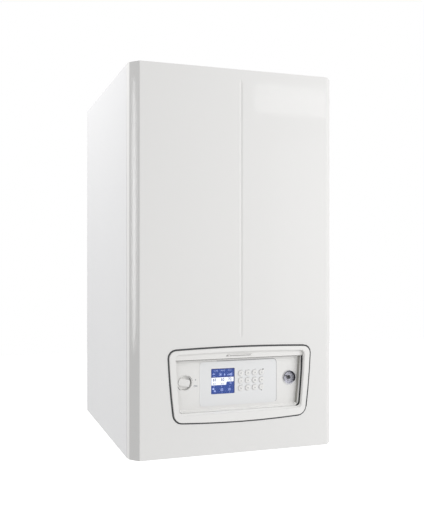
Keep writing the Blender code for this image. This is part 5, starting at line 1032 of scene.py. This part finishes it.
def pipe_ends(nut):
    """Union nuts on the pipes, and a rubber collar where each goes through the casing's floor."""
    floor = low("bottom_panel").z
    holes = {hole["name"]: hole["box_m"] for hole in frame["record"]["physics"]["openings"]}
    pipes = {"flow_bore": 0.0175, "return_bore": 0.0175, "gas_bore": 0.0134, "condensate_bore": 0.0125}
    nuts, collars = bmesh.new(), bmesh.new()
    for name, radius in pipes.items():
        near, far = holes[name]
        x, y = (near[0] + far[0]) / 2, (near[1] + far[1]) / 2
        turned_ring(collars, x, y, radius + 0.0006, radius + 0.0075, 0, floor - 0.0014, floor - 0.0003)
        if name != "condensate_bore":
            turned_ring(nuts, x, y, radius * 0.97, radius + nut, 6, floor - 0.030, floor - 0.012)
    fitted("union_nuts", nuts, "brass", "safety_valve")
    fitted("pipe_collars", collars, "rubber", "flue_seal")


class BOILER_OT_works(bpy.types.Operator):
    """Paints the burner, exchanger, fan, valve, pump and pipes, and adds their small fittings"""

    bl_idname = "boiler.works"
    bl_label = "Dress the works"

    def execute(self, context):
        painted("steel", "heat_exchanger", "exchanger_coil", "burner", "gas_pipe")
        painted("zinc", "clamp_ring")
        painted("casting", "exchanger_door", "fan_housing", "gas_valve")
        painted("ceramic", "electrodes")
        painted("black", "gas_air_elbow", "fan_motor", "flue_collar", "air_intake_collar")
        painted("grey", "fan_impeller", "pump_impeller", "condensate_trap", "flue_duct")
        painted("copper", "flow_pipe", "return_pipe")
        painted("iron", "pump_body", "pump_motor")
        painted("brass", "air_vent", "safety_valve")
        painted("red", "safety_valve_knob")
        painted("rubber", "flue_seal")
        sizes = context.scene.boiler_sizes
        motor_ribs("fan_motor", "black", 0.0470, 0.0035, 0.045, sizes)
        motor_ribs("pump_motor", "iron", 0.0490, 0.0060, 0.072, sizes)
        pipe_ends(sizes.nut)
        return {"FINISHED"}


def screw_row(name, start, end, count, facing, head):
    values = {"From": start, "To": end, "Count": count, "Facing": facing, "Head": head}
    grown(name, "Screw row", values, "steel", "box_screw_left")


class BOILER_OT_fasteners(bpy.types.Operator):
    """Sets the screws of the back and the top"""

    bl_idname = "boiler.fasteners"
    bl_label = "Set the screws"

    def execute(self, context):
        head = context.scene.boiler_sizes.screw
        near, far = ends_of("top_panel")
        sheet, flange = far.y + 0.0018, far.z + 0.0037
        rows = (("high", (near.z + far.z) / 2), ("low", middle("bottom_panel").z))
        for name, z in rows:
            screw_row(f"back_screws_{name}", (-0.24, sheet, z), (0.24, sheet, z), 5, (0.0, 1.0, 0.0), head)
        for node, reach in (("flue_collar", 0.047), ("air_intake_collar", 0.0433)):
            x, y, _ = middle(node)
            for side, shift in (("front", -reach), ("back", reach)):
                ends = [(x + across, y + shift, flange) for across in (-reach, reach)]
                screw_row(f"{node}_screws_{side}", *ends, 2, (0.0, 0.0, 1.0), head * 0.75)
        return {"FINISHED"}


def pale_floor():
    """A pale floor that shows white to the camera and keeps the object's shadow."""
    bpy.ops.mesh.primitive_plane_add(size=14.0, location=(0.0, 0.0, 0.0))
    floor = bpy.context.object
    floor.name = "floor"
    floor.data.transform(Matrix.Translation((0.0, 0.0, -0.75)))
    material, tree = new_material("Pale floor")
    place = tree.nodes.new("ShaderNodeTexCoord").outputs["Object"]
    share = maths(tree, "MULTIPLY", noise(tree, place, 1.5, 3.0), 0.02)
    floor.data.materials.append(wired(material, {
        "Base Color": mixed(tree, share, coloured((0.97,) * 3), coloured((0.9,) * 3)), "Roughness": 0.9,
        "Emission Color": WHITE, "Emission Strength": maths(tree, "MULTIPLY", seen_plainly(tree), 0.46),
    }))


def pale_sky(scene, strength):
    """Even light for the object, and plain white for the camera, gloss and glass."""
    scene.world = bpy.data.worlds.new("Pale room")
    scene.world.use_nodes = True
    tree = scene.world.node_tree
    lift = maths(tree, "MULTIPLY", seen_plainly(tree), 1.0 - strength)
    background = tree.nodes["Background"]
    feed(tree, background.inputs["Color"], WHITE)
    feed(tree, background.inputs["Strength"], maths(tree, "ADD", lift, strength))


def lamp(name, place, aim, size, power, shape="RECTANGLE"):
    light = bpy.data.lights.new(name, "AREA")
    light.shape = shape
    light.size, light.size_y = size
    light.energy = power
    lamp = new_object(name, light)
    lamp.location = place
    lamp.rotation_euler = (Vector(aim) - Vector(place)).to_track_quat("-Z", "Y").to_euler()


def camera(scene, settings):
    data = bpy.data.cameras.new("camera")
    data.sensor_fit = "VERTICAL"
    data.sensor_height = 36.0
    for key in ("lens", "shift_x", "shift_y"):
        setattr(data, key, getattr(settings, key))
    camera = new_object("camera", data)
    x, y, z = low("front_cover")
    camera.location = (-settings.camera_x, y - settings.camera_ahead, z + settings.camera_height)
    camera.rotation_euler = (math.pi / 2, 0.0, settings.turn)
    scene.camera = camera


class BOILER_OT_stage(bpy.types.Operator):
    """Sets the floor, the lamps, the sky and the camera"""

    bl_idname = "boiler.stage"
    bl_label = "Set the stage"

    def execute(self, context):
        scene = context.scene
        settings = scene.boiler_stage
        scene.view_settings.view_transform = "Standard"
        pale_floor()
        pale_sky(scene, settings.sky)
        lamp("key_lamp", (1.55, -1.95, 0.75), (0.0, -0.3, 0.6), (1.1, 1.1), settings.key)
        lamp("side_lamp", (-1.35, 0.3, 2.1), (-0.3, 0.0, 0.8), (0.7, 0.7), settings.side)
        place, aim = (-1.496, -0.6065, 0.765), (-0.287, -0.2865, 0.765)
        lamp("strip_lamp", place, aim, (0.028, 1.25), settings.strip, "ELLIPSE")
        lamp("softbox", (1.22, -2.2, 1.535), (1.22, 0.0, 1.535), (0.512, 0.18), settings.softbox)
        camera(scene, settings)
        return {"FINISHED"}


class BOILER_PT_panel(bpy.types.Panel):
    """Lists the boiler's settings and steps"""

    bl_idname = "BOILER_PT_panel"
    bl_label = "Boiler"
    bl_space_type = "VIEW_3D"
    bl_region_type = "UI"
    bl_category = "Boiler"

    def draw(self, context):
        layout = self.layout
        for group in SETTINGS:
            settings, box = getattr(context.scene, group), layout.box()
            for name in settings.__annotations__:
                box.prop(settings, name)
        for step in STEPS:
            layout.operator(step.bl_idname)


STEPS = (
    BOILER_OT_materials, BOILER_OT_casing, BOILER_OT_control_panel, BOILER_OT_screen, BOILER_OT_keys,
    BOILER_OT_switch, BOILER_OT_gauge, BOILER_OT_works, BOILER_OT_fasteners, BOILER_OT_stage,
)
SETTINGS = {"boiler_colours": BoilerColours, "boiler_sizes": BoilerSizes, "boiler_stage": BoilerStage}
CLASSES = (*SETTINGS.values(), *STEPS, BOILER_PT_panel)


def register():
    for item in CLASSES:
        bpy.utils.register_class(item)
    for name, settings in SETTINGS.items():
        setattr(bpy.types.Scene, name, PointerProperty(type=settings))


def unregister():
    for name in SETTINGS:
        delattr(bpy.types.Scene, name)
    for item in reversed(CLASSES):
        bpy.utils.unregister_class(item)


def main():
    register()
    for step in STEPS:
        group, name = step.bl_idname.split(".")
        getattr(getattr(bpy.ops, group), name)()


if __name__ == "__main__":
    main()
